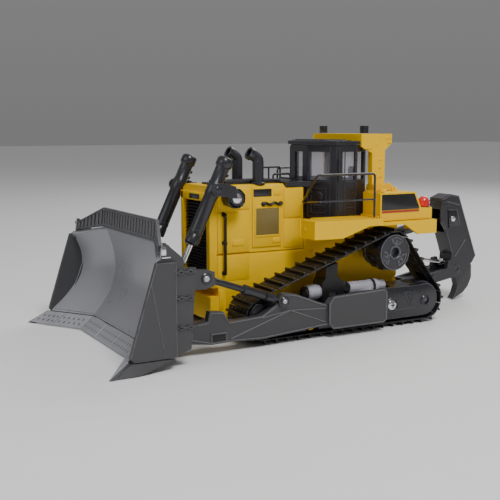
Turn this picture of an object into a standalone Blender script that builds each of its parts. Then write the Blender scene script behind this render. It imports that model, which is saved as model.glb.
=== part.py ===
"""Die-cast toy bulldozer, 1:50 class: semi-U blade on push arms, high-drive tracks and a parallelogram ripper.

Frame: metres, +X forward (towards the blade), +Y to the driver's left, +Z up. The origin is on the ground
under the middle of the bounding box. Sizes below are in millimetres and are scaled once, by MM.
"""

import math

import bmesh
import bpy
from mathutils import Matrix, Vector

MM = 0.001
GAP = 0.3  # clearance between neighbouring pieces
MERGE = 0.00001  # merge threshold of modifiers, in metres

# ---- overall
FRONT_X = 111.55
REAR_X = -111.55
TIP_Y = 54.7

# ---- tracks: three wheels inside one chain on each side
TRACK_IN = 20.0
TRACK_OUT = 36.0
TRACK_MID = (TRACK_IN + TRACK_OUT) / 2
SPROCKET = (-32.4, 34.1)
REAR_IDLER = (-51.0, 10.9)
FRONT_IDLER = (35.6, 10.9)
CHAIN_INNER = 8.5  # chain plate, underside, from an idler's centre
CHAIN_PLATE = 9.5  # chain plate, outer side
CHAIN_TIP = 10.9  # grouser tip: the ground is this far below an idler's centre
SPROCKET_EXTRA = 0.3  # the chain stands this much further out round the sprocket
SHOES = 44
GROUSER_T = 1.1
GROOVE_R = 9.0  # floor of the channel that the sprocket's teeth run in
GROOVE_HALF = 2.4
WHEEL_R = 8.2
TEETH = 11
TOOTH_TIP = 9.0
ROLLERS_X = (-24.5, 11.5)
ROLLER_Z = 5.3
ROLLER_R = 2.5
RECOIL_Y = 29.4
RECOIL_Z = 18.6

# ---- hull, hood and cab
HULL_Y = 14.0
HOOD_REAR = 3.3
HOOD_FRONT = 49.8
HOOD_TOP = 65.4
DECK_Z = 48.2
WALL = 1.5
CAB_PLAN = ((-3.0, 7.0), (-10.8, 19.5), (-22.0, 19.5), (-29.9, 15.6))  # left half, front to back
CAB_POSTS = ((1.2, 3.0), (3.4, 0.8), (0.8, 1.6), (2.0, 2.0), (1.6, 0.8), (0.8, 3.4), (3.0, 1.2), (3.6, 3.6))  # each wall
CAB_SILL = 66.5
CAB_HEAD = 79.2
CAB_TOP = 82.2
ROPS_Y = 20.0

# ---- blade and its linkage
ARM_IN = 36.8
ARM_OUT = 40.0
ARM_PIVOT = (-8.5, 11.5)
YOKE_PIVOT = (50.35, 64.4)
LIFT_Y = 17.6
LIFT_EYE = (71.46, 20.5)
BLADE_FOLD_Y = 28.0
BLADE_END_Y = 51.0
BLADE_T = 1.8
GUARD_FOLD_Y = 30.0
GUARD_END_Y = 47.6

# ---- ripper
RIP_LINK = (-40.0, 7.0)  # from each chassis pivot to its carriage pivot
RIP_LOWER = (-57.0, 9.5)
RIP_UPPER = (-53.8, 36.5)
RIP_ARM_PIN = (RIP_LOWER[0] + RIP_LINK[0], RIP_LOWER[1] + RIP_LINK[1])
RIP_TOP_PIN = (RIP_UPPER[0] + RIP_LINK[0], RIP_UPPER[1] + RIP_LINK[1])
RIP_CYL_BASE = (-54.0, 26.5)
RIP_CYL_EYE = (-92.5, 20.6)

SIDES = (("l", 1), ("r", -1))

YELLOW = (0.91, 0.60, 0.015, 1.0)
CHARCOAL = (0.035, 0.036, 0.042, 1.0)
BLACK = (0.012, 0.012, 0.014, 1.0)
GUNMETAL = (0.085, 0.085, 0.092, 1.0)
STEEL = (0.36, 0.38, 0.42, 1.0)
CHROME = (0.75, 0.75, 0.78, 1.0)
RED = (0.70, 0.01, 0.01, 1.0)
GLASS = (0.75, 0.74, 0.86, 1.0)


# ------------------------------------------------------------------ helpers
def clear_scene():
    for obj in list(bpy.data.objects):
        bpy.data.objects.remove(obj, do_unlink=True)


def new_collection(name):
    group = bpy.data.collections.new(name)
    bpy.context.scene.collection.children.link(group)
    return group


def material(name, color, roughness, metallic=0.0):
    mat = bpy.data.materials.new(name)
    mat.use_nodes = True
    shader = mat.node_tree.nodes["Principled BSDF"]
    shader.inputs["Base Color"].default_value = color
    shader.inputs["Roughness"].default_value = roughness
    shader.inputs["Metallic"].default_value = metallic
    mat.diffuse_color = color
    return mat


def vec(x, y, z):
    return Vector((x * MM, y * MM, z * MM))


def mesh_object(name, bm):
    bmesh.ops.recalc_face_normals(bm, faces=bm.faces)
    data = bpy.data.meshes.new(name)
    bm.to_mesh(data)
    bm.free()
    obj = bpy.data.objects.new(name, data)
    bpy.context.scene.collection.objects.link(obj)
    return obj


def box(name, low, high):
    bm = bmesh.new()
    bmesh.ops.create_cube(bm, size=1.0)
    size = Vector([(b - a) * MM for a, b in zip(low, high)])
    middle = Vector([(a + b) / 2 * MM for a, b in zip(low, high)])
    bmesh.ops.scale(bm, vec=size, verts=bm.verts)
    bmesh.ops.translate(bm, vec=middle, verts=bm.verts)
    return mesh_object(name, bm)


def rod(name, start, end, radius, end_radius=None, sides=16):
    """A round bar between two points, or a cone frustum when the end radius differs."""
    a = vec(*start)
    b = vec(*end)
    bm = bmesh.new()
    second = radius if end_radius is None else end_radius
    bmesh.ops.create_cone(
        bm, cap_ends=True, segments=sides, radius1=radius * MM, radius2=second * MM, depth=(b - a).length
    )
    turn = (b - a).to_track_quat("Z", "Y").to_matrix().to_4x4()
    bmesh.ops.transform(bm, matrix=Matrix.Translation((a + b) / 2) @ turn, verts=bm.verts)
    return mesh_object(name, bm)


def disc(name, centre, y0, y1, radius, sides=20):
    """A round bar across the machine, from y0 to y1."""
    low, high = sorted((y0, y1))
    return rod(name, (centre[0], low, centre[1]), (centre[0], high, centre[1]), radius, sides=sides)


def to_mesh(obj):
    """The evaluated, welded mesh of an object, as a new object of the same name."""
    graph = bpy.context.evaluated_depsgraph_get()
    data = bpy.data.meshes.new_from_object(obj.evaluated_get(graph))
    bm = bmesh.new()
    bm.from_mesh(data)
    bmesh.ops.remove_doubles(bm, verts=bm.verts, dist=MERGE)
    bmesh.ops.recalc_face_normals(bm, faces=bm.faces)
    bm.to_mesh(data)
    bm.free()
    name = obj.name
    place = obj.matrix_world.copy()
    bpy.data.objects.remove(obj, do_unlink=True)
    new = bpy.data.objects.new(name, data)
    new.matrix_world = place
    bpy.context.scene.collection.objects.link(new)
    return new


def plate(name, outline, y0, y1, holes=()):
    """A flat outline in the XZ plane, with holes, extruded across the machine from y0 to y1."""
    curve = bpy.data.curves.new(name, "CURVE")
    curve.dimensions = "2D"
    curve.fill_mode = "BOTH"
    curve.extrude = abs(y1 - y0) / 2 * MM
    for ring in (outline, *holes):
        spline = curve.splines.new("POLY")
        spline.points.add(len(ring) - 1)
        spline.use_cyclic_u = True
        for point, (x, z) in zip(spline.points, ring):
            point.co = (x * MM, z * MM, 0.0, 1.0)
    obj = bpy.data.objects.new(name, curve)
    bpy.context.scene.collection.objects.link(obj)
    obj.rotation_euler = (math.pi / 2, 0, 0)
    obj.location = (0, (y0 + y1) / 2 * MM, 0)
    bpy.context.view_layer.update()
    solid = to_mesh(obj)
    solid.data.transform(solid.matrix_world)
    solid.matrix_world = Matrix.Identity(4)
    return solid


def slab(name, outline, z0, z1):
    """A flat outline in the XY plane, extruded upwards from z0 to z1."""
    bm = bmesh.new()
    face = bm.faces.new([bm.verts.new(vec(x, y, z0)) for x, y in outline])
    made = bmesh.ops.extrude_face_region(bm, geom=[face])
    tops = [item for item in made["geom"] if isinstance(item, bmesh.types.BMVert)]
    bmesh.ops.translate(bm, vec=vec(0, 0, z1 - z0), verts=tops)
    return mesh_object(name, bm)


def tube(name, points, radius, resolution=1):
    """A rail along a chain of points, with filled ends."""
    curve = bpy.data.curves.new(name, "CURVE")
    curve.dimensions = "3D"
    curve.bevel_depth = radius * MM
    curve.bevel_resolution = resolution
    curve.use_fill_caps = True
    spline = curve.splines.new("POLY")
    spline.points.add(len(points) - 1)
    for point, place in zip(spline.points, points):
        point.co = (*vec(*place), 1.0)
    obj = bpy.data.objects.new(name, curve)
    bpy.context.scene.collection.objects.link(obj)
    bpy.context.view_layer.update()
    return to_mesh(obj)


def rounded_path(points, radius, steps=3):
    """The chain of points with each inner corner turned into a short arc-like bend."""
    path = [Vector(points[0])]
    for before, corner, after in zip(points, points[1:], points[2:]):
        corner = Vector(corner)
        into = (Vector(before) - corner).normalized() * radius
        out = (Vector(after) - corner).normalized() * radius
        for i in range(steps + 1):
            t = i / steps
            path.append(corner + into * (1 - t) ** 2 + out * t**2)
    path.append(Vector(points[-1]))
    return path


def turned(name, profile, start, direction, steps=24):
    """A profile of (radius, height) turned about an axis; it runs down its outer side, top to bottom."""
    bm = bmesh.new()
    verts = [bm.verts.new((r * MM, 0, h * MM)) for r, h in profile]
    for a, b in zip(verts, verts[1:]):
        bm.edges.new((a, b))
    data = bpy.data.meshes.new(name)
    bm.to_mesh(data)
    bm.free()
    obj = bpy.data.objects.new(name, data)
    bpy.context.scene.collection.objects.link(obj)
    screw = obj.modifiers.new("turn", "SCREW")
    screw.steps = screw.render_steps = steps
    screw.use_merge_vertices = True
    screw.merge_threshold = MERGE
    turn = Vector(direction).to_track_quat("Z", "Y").to_matrix().to_4x4()
    obj.matrix_world = Matrix.Translation(vec(*start)) @ turn
    bpy.context.view_layer.update()
    return to_mesh(obj)


def sheet(name, rows, thickness, skip=lambda i, j: False, closed=False, offset=-1.0):
    """A grid of points made into faces, some left out, and thickened into one closed body."""
    bm = bmesh.new()
    grid = [[bm.verts.new(vec(*p)) for p in row] for row in rows]
    count = len(rows[0])
    for i in range(len(rows) - 1):
        for j in range(count if closed else count - 1):
            if not skip(i, j):
                k = (j + 1) % count
                bm.faces.new((grid[i][j], grid[i][k], grid[i + 1][k], grid[i + 1][j]))
    loose = [v for v in bm.verts if not v.link_faces]
    bmesh.ops.delete(bm, geom=loose, context="VERTS")
    data = bpy.data.meshes.new(name)
    bm.to_mesh(data)
    bm.free()
    obj = bpy.data.objects.new(name, data)
    bpy.context.scene.collection.objects.link(obj)
    solid = obj.modifiers.new("thickness", "SOLIDIFY")
    solid.thickness = thickness * MM
    solid.offset = offset
    solid.use_even_offset = True
    bpy.context.view_layer.update()
    return to_mesh(obj)


def combine(target, tools, operation):
    for tool in tools:
        mod = target.modifiers.new(operation.lower(), "BOOLEAN")
        mod.operation = operation
        mod.object = tool
        tool.hide_render = True
        tool.display_type = "WIRE"
        for group in tool.users_collection:
            group.objects.unlink(tool)
        cutters.objects.link(tool)
    return target


def join(target, *tools):
    return combine(target, tools, "UNION")


def cut(target, *tools):
    return combine(target, tools, "DIFFERENCE")


def keep(obj, mat, pivot=None):
    """Put a finished piece in the toy's collection, with its material and its joint's empty as parent."""
    for group in obj.users_collection:
        group.objects.unlink(obj)
    toy.objects.link(obj)
    obj.data.materials.clear()
    obj.data.materials.append(mat)
    obj.data.shade_smooth()
    obj.data.set_sharp_from_angle(angle=math.radians(35))
    if pivot:
        obj.parent = pivot
        obj.matrix_parent_inverse = pivot.matrix_world.inverted()
    return obj


def pivot_at(name, x, y, z, parent=None):
    """An empty on a joint's axis."""
    empty = bpy.data.objects.new(name, None)
    empty.empty_display_size = 3 * MM
    bpy.context.scene.collection.objects.link(empty)
    empty.location = vec(x, y, z)
    bpy.context.view_layer.update()
    if parent:
        empty.parent = parent
        empty.matrix_parent_inverse = parent.matrix_world.inverted()
        bpy.context.view_layer.update()
    return empty


def arc(centre, radius, start_deg, end_deg, steps):
    """Points of an arc in the XZ plane, as (x, z)."""
    points = []
    for i in range(steps + 1):
        a = math.radians(start_deg + (end_deg - start_deg) * i / steps)
        points.append((centre[0] + radius * math.cos(a), centre[1] + radius * math.sin(a)))
    return points


def along(start, end, distance):
    """The point at a distance from start towards end, both (x, z)."""
    length = math.dist(start, end)
    return tuple(a + (b - a) * distance / length for a, b in zip(start, end))


# ------------------------------------------------------------------ tracks
def chain_loop():
    """The chain's base line, at no height: (point, outward normal) samples and the running length.

    Each wheel gives an arc and each pair of wheels a straight run. The wheels have equal radii here, apart from
    SPROCKET_EXTRA, which is blended in by chain_point.
    """
    wheels = (FRONT_IDLER, SPROCKET, REAR_IDLER)
    normals = []
    for here, there in zip(wheels, wheels[1:] + wheels[:1]):
        run = Vector(there) - Vector(here)
        normals.append(math.degrees(math.atan2(run.y, run.x)) - 90)
    return wheels, normals


def chain_outline(height, shoes=None):
    """The chain's closed outline at a distance from the wheel centres, with grousers when shoes is given."""
    wheels, normals = chain_loop()
    parts = []
    total = 0.0
    for index, wheel in enumerate(wheels):
        start = normals[index - 1]
        end = normals[index]
        while end < start:
            end += 360
        extra = SPROCKET_EXTRA if wheel == SPROCKET else 0.0
        radius = CHAIN_PLATE + extra
        turn = math.radians(end - start) * radius
        parts.append(("arc", total, turn, wheel, start, end, extra))
        total += turn
        after = wheels[(index + 1) % 3]
        run = math.dist(wheel, after)
        parts.append(("run", total, run, wheel, after, end, (extra, SPROCKET_EXTRA if after == SPROCKET else 0.0)))
        total += run

    def place(s, h):
        s = s % total
        for kind, begin, length, *rest in parts:
            if begin <= s <= begin + length + 1e-9:
                t = (s - begin) / length
                if kind == "arc":
                    wheel, start, end, extra = rest
                    a = math.radians(start + (end - start) * t)
                    r = h + extra
                    return wheel[0] + r * math.cos(a), wheel[1] + r * math.sin(a)
                wheel, after, angle, extras = rest
                a = math.radians(angle)
                r = h + extras[0] + (extras[1] - extras[0]) * t
                return (
                    wheel[0] + (after[0] - wheel[0]) * t + r * math.cos(a),
                    wheel[1] + (after[1] - wheel[1]) * t + r * math.sin(a),
                )
        raise ValueError("outside the chain")

    points = []
    if shoes is None:
        for kind, begin, length, *_ in parts:
            if kind == "arc":
                points += [place(begin + length * i / 8, height) for i in range(9)]
        return points
    pitch = total / SHOES
    half = GROUSER_T / 2
    for i in range(SHOES):
        s = i * pitch
        points.append(place(s - half, height))
        points.append(place(s - half * 0.8, shoes))
        points.append(place(s + half * 0.8, shoes))
        points.append(place(s + half, height))
        if any(kind == "arc" and begin < s + pitch / 2 < begin + length for kind, begin, length, *_ in parts):
            points.append(place(s + pitch / 2, height))
    return points


def track_belt(tag, side):
    ring = plate(
        "track_belt_" + tag,
        chain_outline(CHAIN_PLATE, CHAIN_TIP),
        side * TRACK_IN,
        side * TRACK_OUT,
        holes=[chain_outline(CHAIN_INNER)],
    )
    groove = plate(
        "track_groove_" + tag,
        chain_outline(GROOVE_R),
        side * (TRACK_MID - GROOVE_HALF),
        side * (TRACK_MID + GROOVE_HALF),
        holes=[chain_outline(CHAIN_INNER - 1.5)],
    )
    return cut(ring, groove)


def sprocket(tag, side):
    """Toothed drive wheel: an outer disc, a toothed ring in the chain's groove, and a stub shaft."""
    body = disc("sprocket_" + tag, SPROCKET, side * 30.9, side * 35.6, WHEEL_R, sides=28)
    drum = disc("sprocket_drum_" + tag, SPROCKET, side * 23.0, side * 32.0, 7.0, sides=24)
    teeth = []
    for i in range(TEETH):
        a = 360 / TEETH * (i + 0.5)
        flank = 7.0
        teeth += arc(SPROCKET, WHEEL_R - 0.8, a - 11, a - flank, 1)
        teeth += arc(SPROCKET, TOOTH_TIP, a - flank * 0.75, a + flank * 0.75, 1)
        teeth += arc(SPROCKET, WHEEL_R - 0.8, a + flank, a + 11, 1)
    half = GROOVE_HALF - GAP
    ring = plate("sprocket_teeth_" + tag, teeth, side * (TRACK_MID - half), side * (TRACK_MID + half))
    shaft = disc("sprocket_shaft_" + tag, SPROCKET, side * 11.0, side * 24.0, 2.2)
    bore = disc("sprocket_bore_" + tag, SPROCKET, side * 34.0, side * 37.0, 2.3)
    return cut(join(body, drum, ring, shaft), bore)


def idler(name, centre, side):
    wheel = disc(name, centre, side * 23.3, side * 32.7, WHEEL_R, sides=28)
    axle = disc(name + "_axle", centre, side * 21.0, side * 35.6, 1.4, sides=16)
    return join(wheel, axle)


def roller(name, x, side):
    wheel = disc(name, (x, ROLLER_Z), side * 24.5, side * 33.6, ROLLER_R, sides=16)
    axle = disc(name + "_axle", (x, ROLLER_Z), side * 21.4, side * 35.4, 1.0, sides=12)
    return join(wheel, axle)


def track_frame(tag, side):
    """Side frame: a beam between two forks that carry the idlers, with roller pockets and the arm trunnion."""
    low = 3.3
    outline = [(FRONT_IDLER[0], low)]
    outline += arc(FRONT_IDLER, FRONT_IDLER[1] - low, -90, 60, 8)
    outline += [(26.0, 14.5), (-24.5, 14.5), (-28.0, 17.9), (-47.0, 17.9)]
    outline += arc(REAR_IDLER, REAR_IDLER[1] - low, 100, 270, 10)
    frame = plate("track_frame_" + tag, outline, side * 20.6, side * 35.0)
    cutters_ = []
    for name, centre in (("front", FRONT_IDLER), ("rear", REAR_IDLER)):
        cutters_.append(disc(f"frame_{name}_pocket_{tag}", centre, side * 22.9, side * 33.1, WHEEL_R + 0.7, sides=24))
        cutters_.append(disc(f"frame_{name}_bore_{tag}", centre, side * 19.0, side * 38.0, 1.8, sides=16))
    for i, x in enumerate(ROLLERS_X):
        pocket = box(
            f"frame_roller_pocket_{tag}{i}",
            (x - 3.4, min(side * 24.1, side * 34.0), 0.0),
            (x + 3.4, max(side * 24.1, side * 34.0), 8.8),
        )
        mouth = box(
            f"frame_roller_mouth_{tag}{i}",
            (x - 3.2, min(side * 33.5, side * 36.0), 0.0),
            (x + 3.2, max(side * 33.5, side * 36.0), ROLLER_Z + 0.2),
        )
        bore = disc(f"frame_roller_bore_{tag}{i}", (x, ROLLER_Z), side * 21.0, side * 36.0, 1.4, sides=12)
        cutters_ += [pocket, bore, mouth]
    y = side * RECOIL_Y
    cutters_.append(rod("frame_saddle_" + tag, (-33.0, y, RECOIL_Z), (-18.0, y, RECOIL_Z), 3.7, sides=16))
    trunnion = disc("frame_trunnion_" + tag, ARM_PIVOT, side * 34.0, side * 38.8, 2.4)
    return join(cut(frame, *cutters_), trunnion)


def recoil_tube(tag, side):
    """Bright tube on top of the side frame, lying in its saddle."""
    profile = [(0, 42.2), (2.6, 42.2), (3.3, 41.2), (3.3, 37.4), (3.0, 37.0), (3.0, 8.0), (3.3, 8.0), (3.3, 4.0), (2.6, 4.0), (2.6, 0), (0, 0)]
    return turned("recoil_tube_" + tag, profile, (-30.4, side * RECOIL_Y, RECOIL_Z), (1, 0, 0), steps=16)


def carrier_bracket(tag, side):
    """Black post that holds up the chain's top run, straddling the recoil tube."""
    outline = [(5.0, 14.8), (5.0, 23.0), (3.6, 25.0), (3.6, 29.6), (-2.6, 31.4), (-2.6, 25.0), (-6.0, 23.0), (-6.0, 14.8)]
    post = plate("carrier_bracket_" + tag, outline, side * 25.2, side * 33.2)
    y = side * RECOIL_Y
    saddle = rod("carrier_saddle_" + tag, (-8, y, RECOIL_Z), (7, y, RECOIL_Z), 3.35, sides=16)
    gap = box(
        "carrier_gap_" + tag,
        (-2.6, min(side * 24, side * 35), 14.0),
        (1.6, max(side * 24, side * 35), 18.4),
    )
    return cut(post, saddle, gap)


# ------------------------------------------------------------------ hull, hood and cab
def chassis_tub():
    """Lower body between the tracks, a thin shell open at the top, with its nose block and rear ripper lugs."""
    outline = [
        (50.3, 7.2), (50.3, 17.6), (46.5, 17.6), (46.5, 21.6), (HOOD_FRONT, 21.6), (HOOD_FRONT, 35.6),
        (2.9, 35.6), (2.9, 47.6), (-24.8, 47.6), (-24.8, 46.4), (-50.8, 46.4), (-50.8, 19.3), (-44.0, 12.0),
        (30.0, 8.6), (38.0, 7.2),
    ]
    tub = plate("chassis_tub", outline, -HULL_Y, HULL_Y)
    inside = [
        (44.5, 10.6), (44.5, 40.0), (1.3, 40.0), (1.3, 46.1), (-26.3, 46.1), (-26.3, 50.0), (-48.8, 50.0), (-48.8, 20.0),
        (-43.0, 14.0), (30.0, 10.6),
    ]
    hollow = plate("tub_hollow", inside, -(HULL_Y - WALL), HULL_Y - WALL)
    recess = box("tub_grille_recess", (45.7, -11.2, 22.6), (60.0, 11.2, 40.0))
    parts = []
    for tag, side in SIDES:
        parts.append(disc("tub_bore_" + tag, SPROCKET, side * 10.0, side * 16.0, 2.6))
    cut(tub, hollow, recess, *parts)
    lugs = []
    for tag, side in SIDES:
        lower = [(-46.0, 22.0), (-46.0, 13.0), (-56.0, 7.0)] + arc(RIP_LOWER, 2.6, 260, 90, 6) + [(-50.0, 22.0)]
        lugs.append(plate("rear_lower_lug_" + tag, lower, side * 7.3, side * 9.3))
    upper = [(-49.5, 32.5), (-53.0, 32.5)] + arc(RIP_UPPER, 2.4, 250, 80, 6) + [(-49.5, 40.5)]
    for tag, side in SIDES:
        lugs.append(plate("rear_upper_lug_" + tag, upper, side * 3.4, side * 5.0))
    base = [(-49.5, 23.0), (-53.0, 24.0)] + arc(RIP_CYL_BASE, 2.0, 250, 80, 6) + [(-49.5, 29.5)]
    for tag, side in SIDES:
        lugs.append(plate("rear_cylinder_lug_" + tag, base, side * 2.0, side * 3.2))
    pins = [
        disc("rear_lower_pin", RIP_LOWER, -9.0, 9.0, 1.1, sides=16),
        disc("rear_upper_pin", RIP_UPPER, -4.8, 4.8, 1.0, sides=16),
        disc("rear_cylinder_pin", RIP_CYL_BASE, -3.0, 3.0, 0.8, sides=12),
    ]
    return join(tub, *lugs, *pins)


def hood_shell():
    """Engine hood: a shell with chamfered top corners, open below, and a window in front for the grille."""
    half = HULL_Y
    section = [(-half, 36.0), (-half, 63.4), (-half + 3.0, HOOD_TOP), (half - 3.0, HOOD_TOP), (half, 63.4), (half, 36.0)]
    bm = bmesh.new()
    front = [bm.verts.new(vec(HOOD_FRONT, y, z)) for y, z in section]
    rear = [bm.verts.new(vec(HOOD_REAR, y, z)) for y, z in section]
    bm.faces.new(front)
    bm.faces.new(list(reversed(rear)))
    for i in range(len(section)):
        k = (i + 1) % len(section)
        bm.faces.new((front[i], rear[i], rear[k], front[k]))
    hood = mesh_object("hood_shell", bm)
    hollow = box("hood_hollow", (HOOD_REAR + WALL, -half + WALL, 30), (HOOD_FRONT - 4.9, half - WALL, 62.0))
    window = box("hood_window", (HOOD_FRONT - 8, -11.2, 33.0), (HOOD_FRONT + 3, 11.2, 58.5))
    rear_step = box("hood_rear_step", (HOOD_REAR - 2, -half - 1, 63.6), (12.3, half + 1, 70.0))
    return cut(hood, hollow, window, rear_step)


def radiator_grille():
    """Slatted plate in the window in front, in the hood and in the hull below it."""
    slats = 18
    low, high = 22.9, 58.2
    ys = (-10.9, -10.0, 10.0, 10.9)
    rows = []
    for i in range(2 * slats + 1):
        z = low + (high - low) * i / (2 * slats)
        rows.append([(HOOD_FRONT - 2.3, y, z) for y in ys])
    return sheet("radiator_grille", rows, 1.2, skip=lambda i, j: i % 2 == 1 and j == 1)


def hood_top_deck():
    """Dark tread strip along the hood, with a full-width plate in front of the cab."""
    half = HULL_Y - 0.4
    wide = [(-1.2, -half), (12.0, -half), (12.0, half), (-1.2, half)]
    deck = slab("hood_top_deck", wide, 63.9, 66.2)
    strip = box("hood_top_strip", (11.0, -6.4, HOOD_TOP + GAP), (40.5, 6.4, 66.9))
    join(deck, strip)
    seats = [rod("deck_hole_" + tag, (24.3, side * 9.7, 60), (24.3, side * 9.7, 70), 3.2) for tag, side in SIDES]
    return cut(deck, *seats)


def exhaust_stack(tag, side):
    y = side * 9.7
    path = rounded_path([(24.3, y, HOOD_TOP + GAP), (24.3, y, 76.8), (29.0, y, 79.2)], 1.6)
    pipe = tube("exhaust_stack_" + tag, path, 2.5, resolution=3)
    mouth = rod("exhaust_mouth_" + tag, (26.9, y, 78.13), (33.0, y, 81.25), 1.95, sides=16)
    return cut(pipe, mouth)


def hood_handrail():
    """Two wire hoops beside the walkway in front of the cab, on a foot bar."""
    foot = 66.55
    tall = rounded_path([(3.4, -6.0, foot), (3.4, -6.0, 72.0), (14.0, -6.0, 72.0), (14.0, -6.0, 67.25)], 1.2)
    rail = tube("hood_handrail", tall, 0.5)
    post = tube("hood_handrail_post", [(9.6, -6.0, 66.55), (9.6, -6.0, 72.0)], 0.45)
    bar = tube("hood_handrail_bar", [(3.4, -6.0, 67.0), (3.4, 3.0, 67.0)], 0.42)
    hoop = rounded_path([(3.4, 3.0, foot), (3.4, 3.0, 69.2), (12.6, 3.0, 69.2), (12.6, 3.0, 67.25)], 1.2)
    small = tube("hood_handrail_hoop", hoop, 0.5)
    return join(rail, post, bar, small)


def side_grab_handle(tag, side):
    y = side * 16.2
    foot = side * (HULL_Y + GAP)
    bar = tube("side_grab_handle_" + tag, [(44.0, y, 27.8), (44.0, y, 53.2)], 0.5)
    feet = []
    for i, z in enumerate((28.3, 41.0, 52.6)):
        feet.append(rod(f"grab_foot_{tag}{i}", (44.0, foot, z), (44.0, y, z), 0.62, sides=8))
    return join(bar, *feet)


def lift_yoke(tag, side):
    """Bracket on the hood's front corner whose outer cheek carries the lift cylinder's trunnion."""
    inner = HULL_Y + GAP
    housing = disc("lift_yoke_" + tag, (41.0, 60.4), side * inner, side * 21.0, 4.2, sides=8)
    arm = plate(
        "yoke_arm_" + tag,
        [(38.0, 57.0), (44.6, 59.4), (45.2, 65.0), (42.5, 65.4), (38.5, 62.6)],
        side * (inner + 0.4),
        side * 21.2,
    )
    outline = [(41.5, 60.6), (48.8, 61.7)] + arc(YOKE_PIVOT, 2.8, -110, 90, 8) + [(46.5, 67.0), (42.0, 65.6)]
    cheek = plate("yoke_cheek_" + tag, outline, side * 20.95, side * 22.4)
    bore = disc("yoke_bore_" + tag, YOKE_PIVOT, side * 20.0, side * 24.0, 1.65, sides=16)
    return cut(join(housing, arm, cheek), bore)


def cab_outline(inset):
    """The cab's plan, each wall moved inwards by inset, as (x, y) points."""
    ring = [Vector(p) for p in CAB_PLAN] + [Vector((x, -y)) for x, y in reversed(CAB_PLAN)]
    points = []
    for before, corner, after in zip(ring[-1:] + ring[:-1], ring, ring[1:] + ring[:1]):
        into = (corner - before).normalized()
        out = (after - corner).normalized()
        normal = Vector((-into.y, into.x)) + Vector((-out.y, out.x))
        points.append(corner + normal * (2 * inset / normal.length_squared))
    return points


def cab_ring(inset, heights, posts):
    """Points of the cab's wall, row by row: each wall has a post at both ends and a window between."""
    plan = cab_outline(inset)
    rows = []
    for z in heights:
        row = []
        for i, (a, b) in enumerate(zip(plan, plan[1:] + plan[:1])):
            row.append((a.x, a.y, z))
            if posts:
                run = (b - a).normalized()
                row += [(p.x, p.y, z) for p in (a + run * posts[i][0], b - run * posts[i][1])]
        rows.append(row)
    return rows


def cab_shell():
    """Cab walls with their window openings, standing on the deck."""
    heights = (DECK_Z + 0.2, CAB_SILL, CAB_HEAD, CAB_TOP)
    rows = cab_ring(0.0, heights, CAB_POSTS)
    return sheet("cab_shell", rows, 1.2, skip=lambda i, j: i == 1 and j % 3 == 1, closed=True, offset=-1.0)


def cab_glazing():
    """Clear liner behind the cab's windows."""
    rows = cab_ring(1.6, (CAB_SILL - 2.0, CAB_HEAD + 2.0), None)
    return sheet("cab_glazing", rows, 0.5, closed=True, offset=-1.0)


def cab_roof():
    grow = 0.9
    half = [(x + (grow if i == 0 else 0.3), y + grow) for i, (x, y) in enumerate(CAB_PLAN)]
    outline = half + [(x, -y) for x, y in reversed(half)]
    roof = slab("cab_roof", outline, CAB_TOP + GAP, CAB_TOP + 1.9)
    notch = box("roof_notch", (-60.0, -40.0, CAB_TOP - 0.5), (-23.9, 40.0, CAB_TOP + 6))
    return cut(roof, notch)


def operator_seat():
    """Seat on its pedestal, with a backrest and a headrest."""
    outline = [
        (-14.0, 48.9), (-14.0, 56.0), (-12.0, 56.0), (-12.0, 58.6), (-19.0, 58.6), (-21.4, 68.4), (-21.6, 72.0),
        (-23.6, 72.0), (-23.6, 56.0), (-22.0, 48.9),
    ]
    return plate("operator_seat", outline, -4.2, 4.2)


def fender(tag, side):
    """Platform over the track: a thin deck with a deep outer skirt, open below."""
    outline = [
        (11.4, 42.5), (11.4, 50.4), (-25.2, 50.0), (-25.2, 48.1), (-56.2, 48.1), (-56.2, 41.8), (-45.3, 41.8),
        (-37.5, 46.7), (-17.8, 46.9), (-3.3, 42.3),
    ]
    body = plate("fender_" + tag, outline, side * (HULL_Y + GAP), side * TRACK_OUT)
    room = [(9.9, 30.0), (9.9, 48.7), (-23.6, 48.5), (-23.6, 47.0), (-54.8, 47.0), (-54.8, 30.0)]
    inner = plate("fender_room_" + tag, room, side * (HULL_Y - 2), side * (TRACK_OUT - 1.4))
    low, high = sorted((side * (HULL_Y - 2), side * 24.0))
    notch = box("fender_notch_" + tag, (3.0, low, 30.0), (14.0, high, 49.0))
    corner = box("fender_corner_" + tag, (HOOD_REAR - 0.4, low, 40.0), (14.0, high, 56.0))
    seat = box("fender_cab_seat_" + tag, (-30.5, low, DECK_Z - 0.2), (HOOD_REAR, side * 20.0 if side > 0 else high, 56.0))
    if side < 0:
        bpy.data.objects.remove(seat, do_unlink=True)
        seat = box("fender_cab_seat_" + tag, (-30.5, -20.0, DECK_Z - 0.2), (HOOD_REAR, -(HULL_Y - 2), 56.0))
    return cut(body, inner, notch, corner, seat)


def fuel_tank():
    """Rear tank across both fenders, a shell open below, with a step block at each rear corner."""
    outline = [(-25.6, 48.4), (-25.6, 61.0), (-45.7, 61.0), (-49.2, 53.4), (-49.2, 48.4)]
    tank = plate("fuel_tank", outline, -33.0, 33.0)
    room = [(-31.9, 44.0), (-31.9, 59.5), (-44.8, 59.5), (-47.7, 53.2), (-47.7, 44.0)]
    hollows = [plate("tank_room", room, -21.6, 21.6)]
    for tag, side in SIDES:
        wing = [(-27.1, 44.0), (-27.1, 59.5), (-44.8, 59.5), (-47.7, 53.2), (-47.7, 44.0)]
        hollows.append(plate("tank_room_" + tag, wing, side * 21.5, side * 31.5))
    recess = box("tank_cab_recess", (-30.3, -20.1, 40.0), (-20.0, 20.1, 70.0))
    blocks = []
    for tag, side in SIDES:
        low, high = sorted((side * 22.0, side * 33.0))
        blocks.append(box("tank_block_" + tag, (-55.7, low, 48.4), (-48.6, high, 53.6)))
    return join(cut(tank, recess, *hollows), *blocks)


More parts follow.
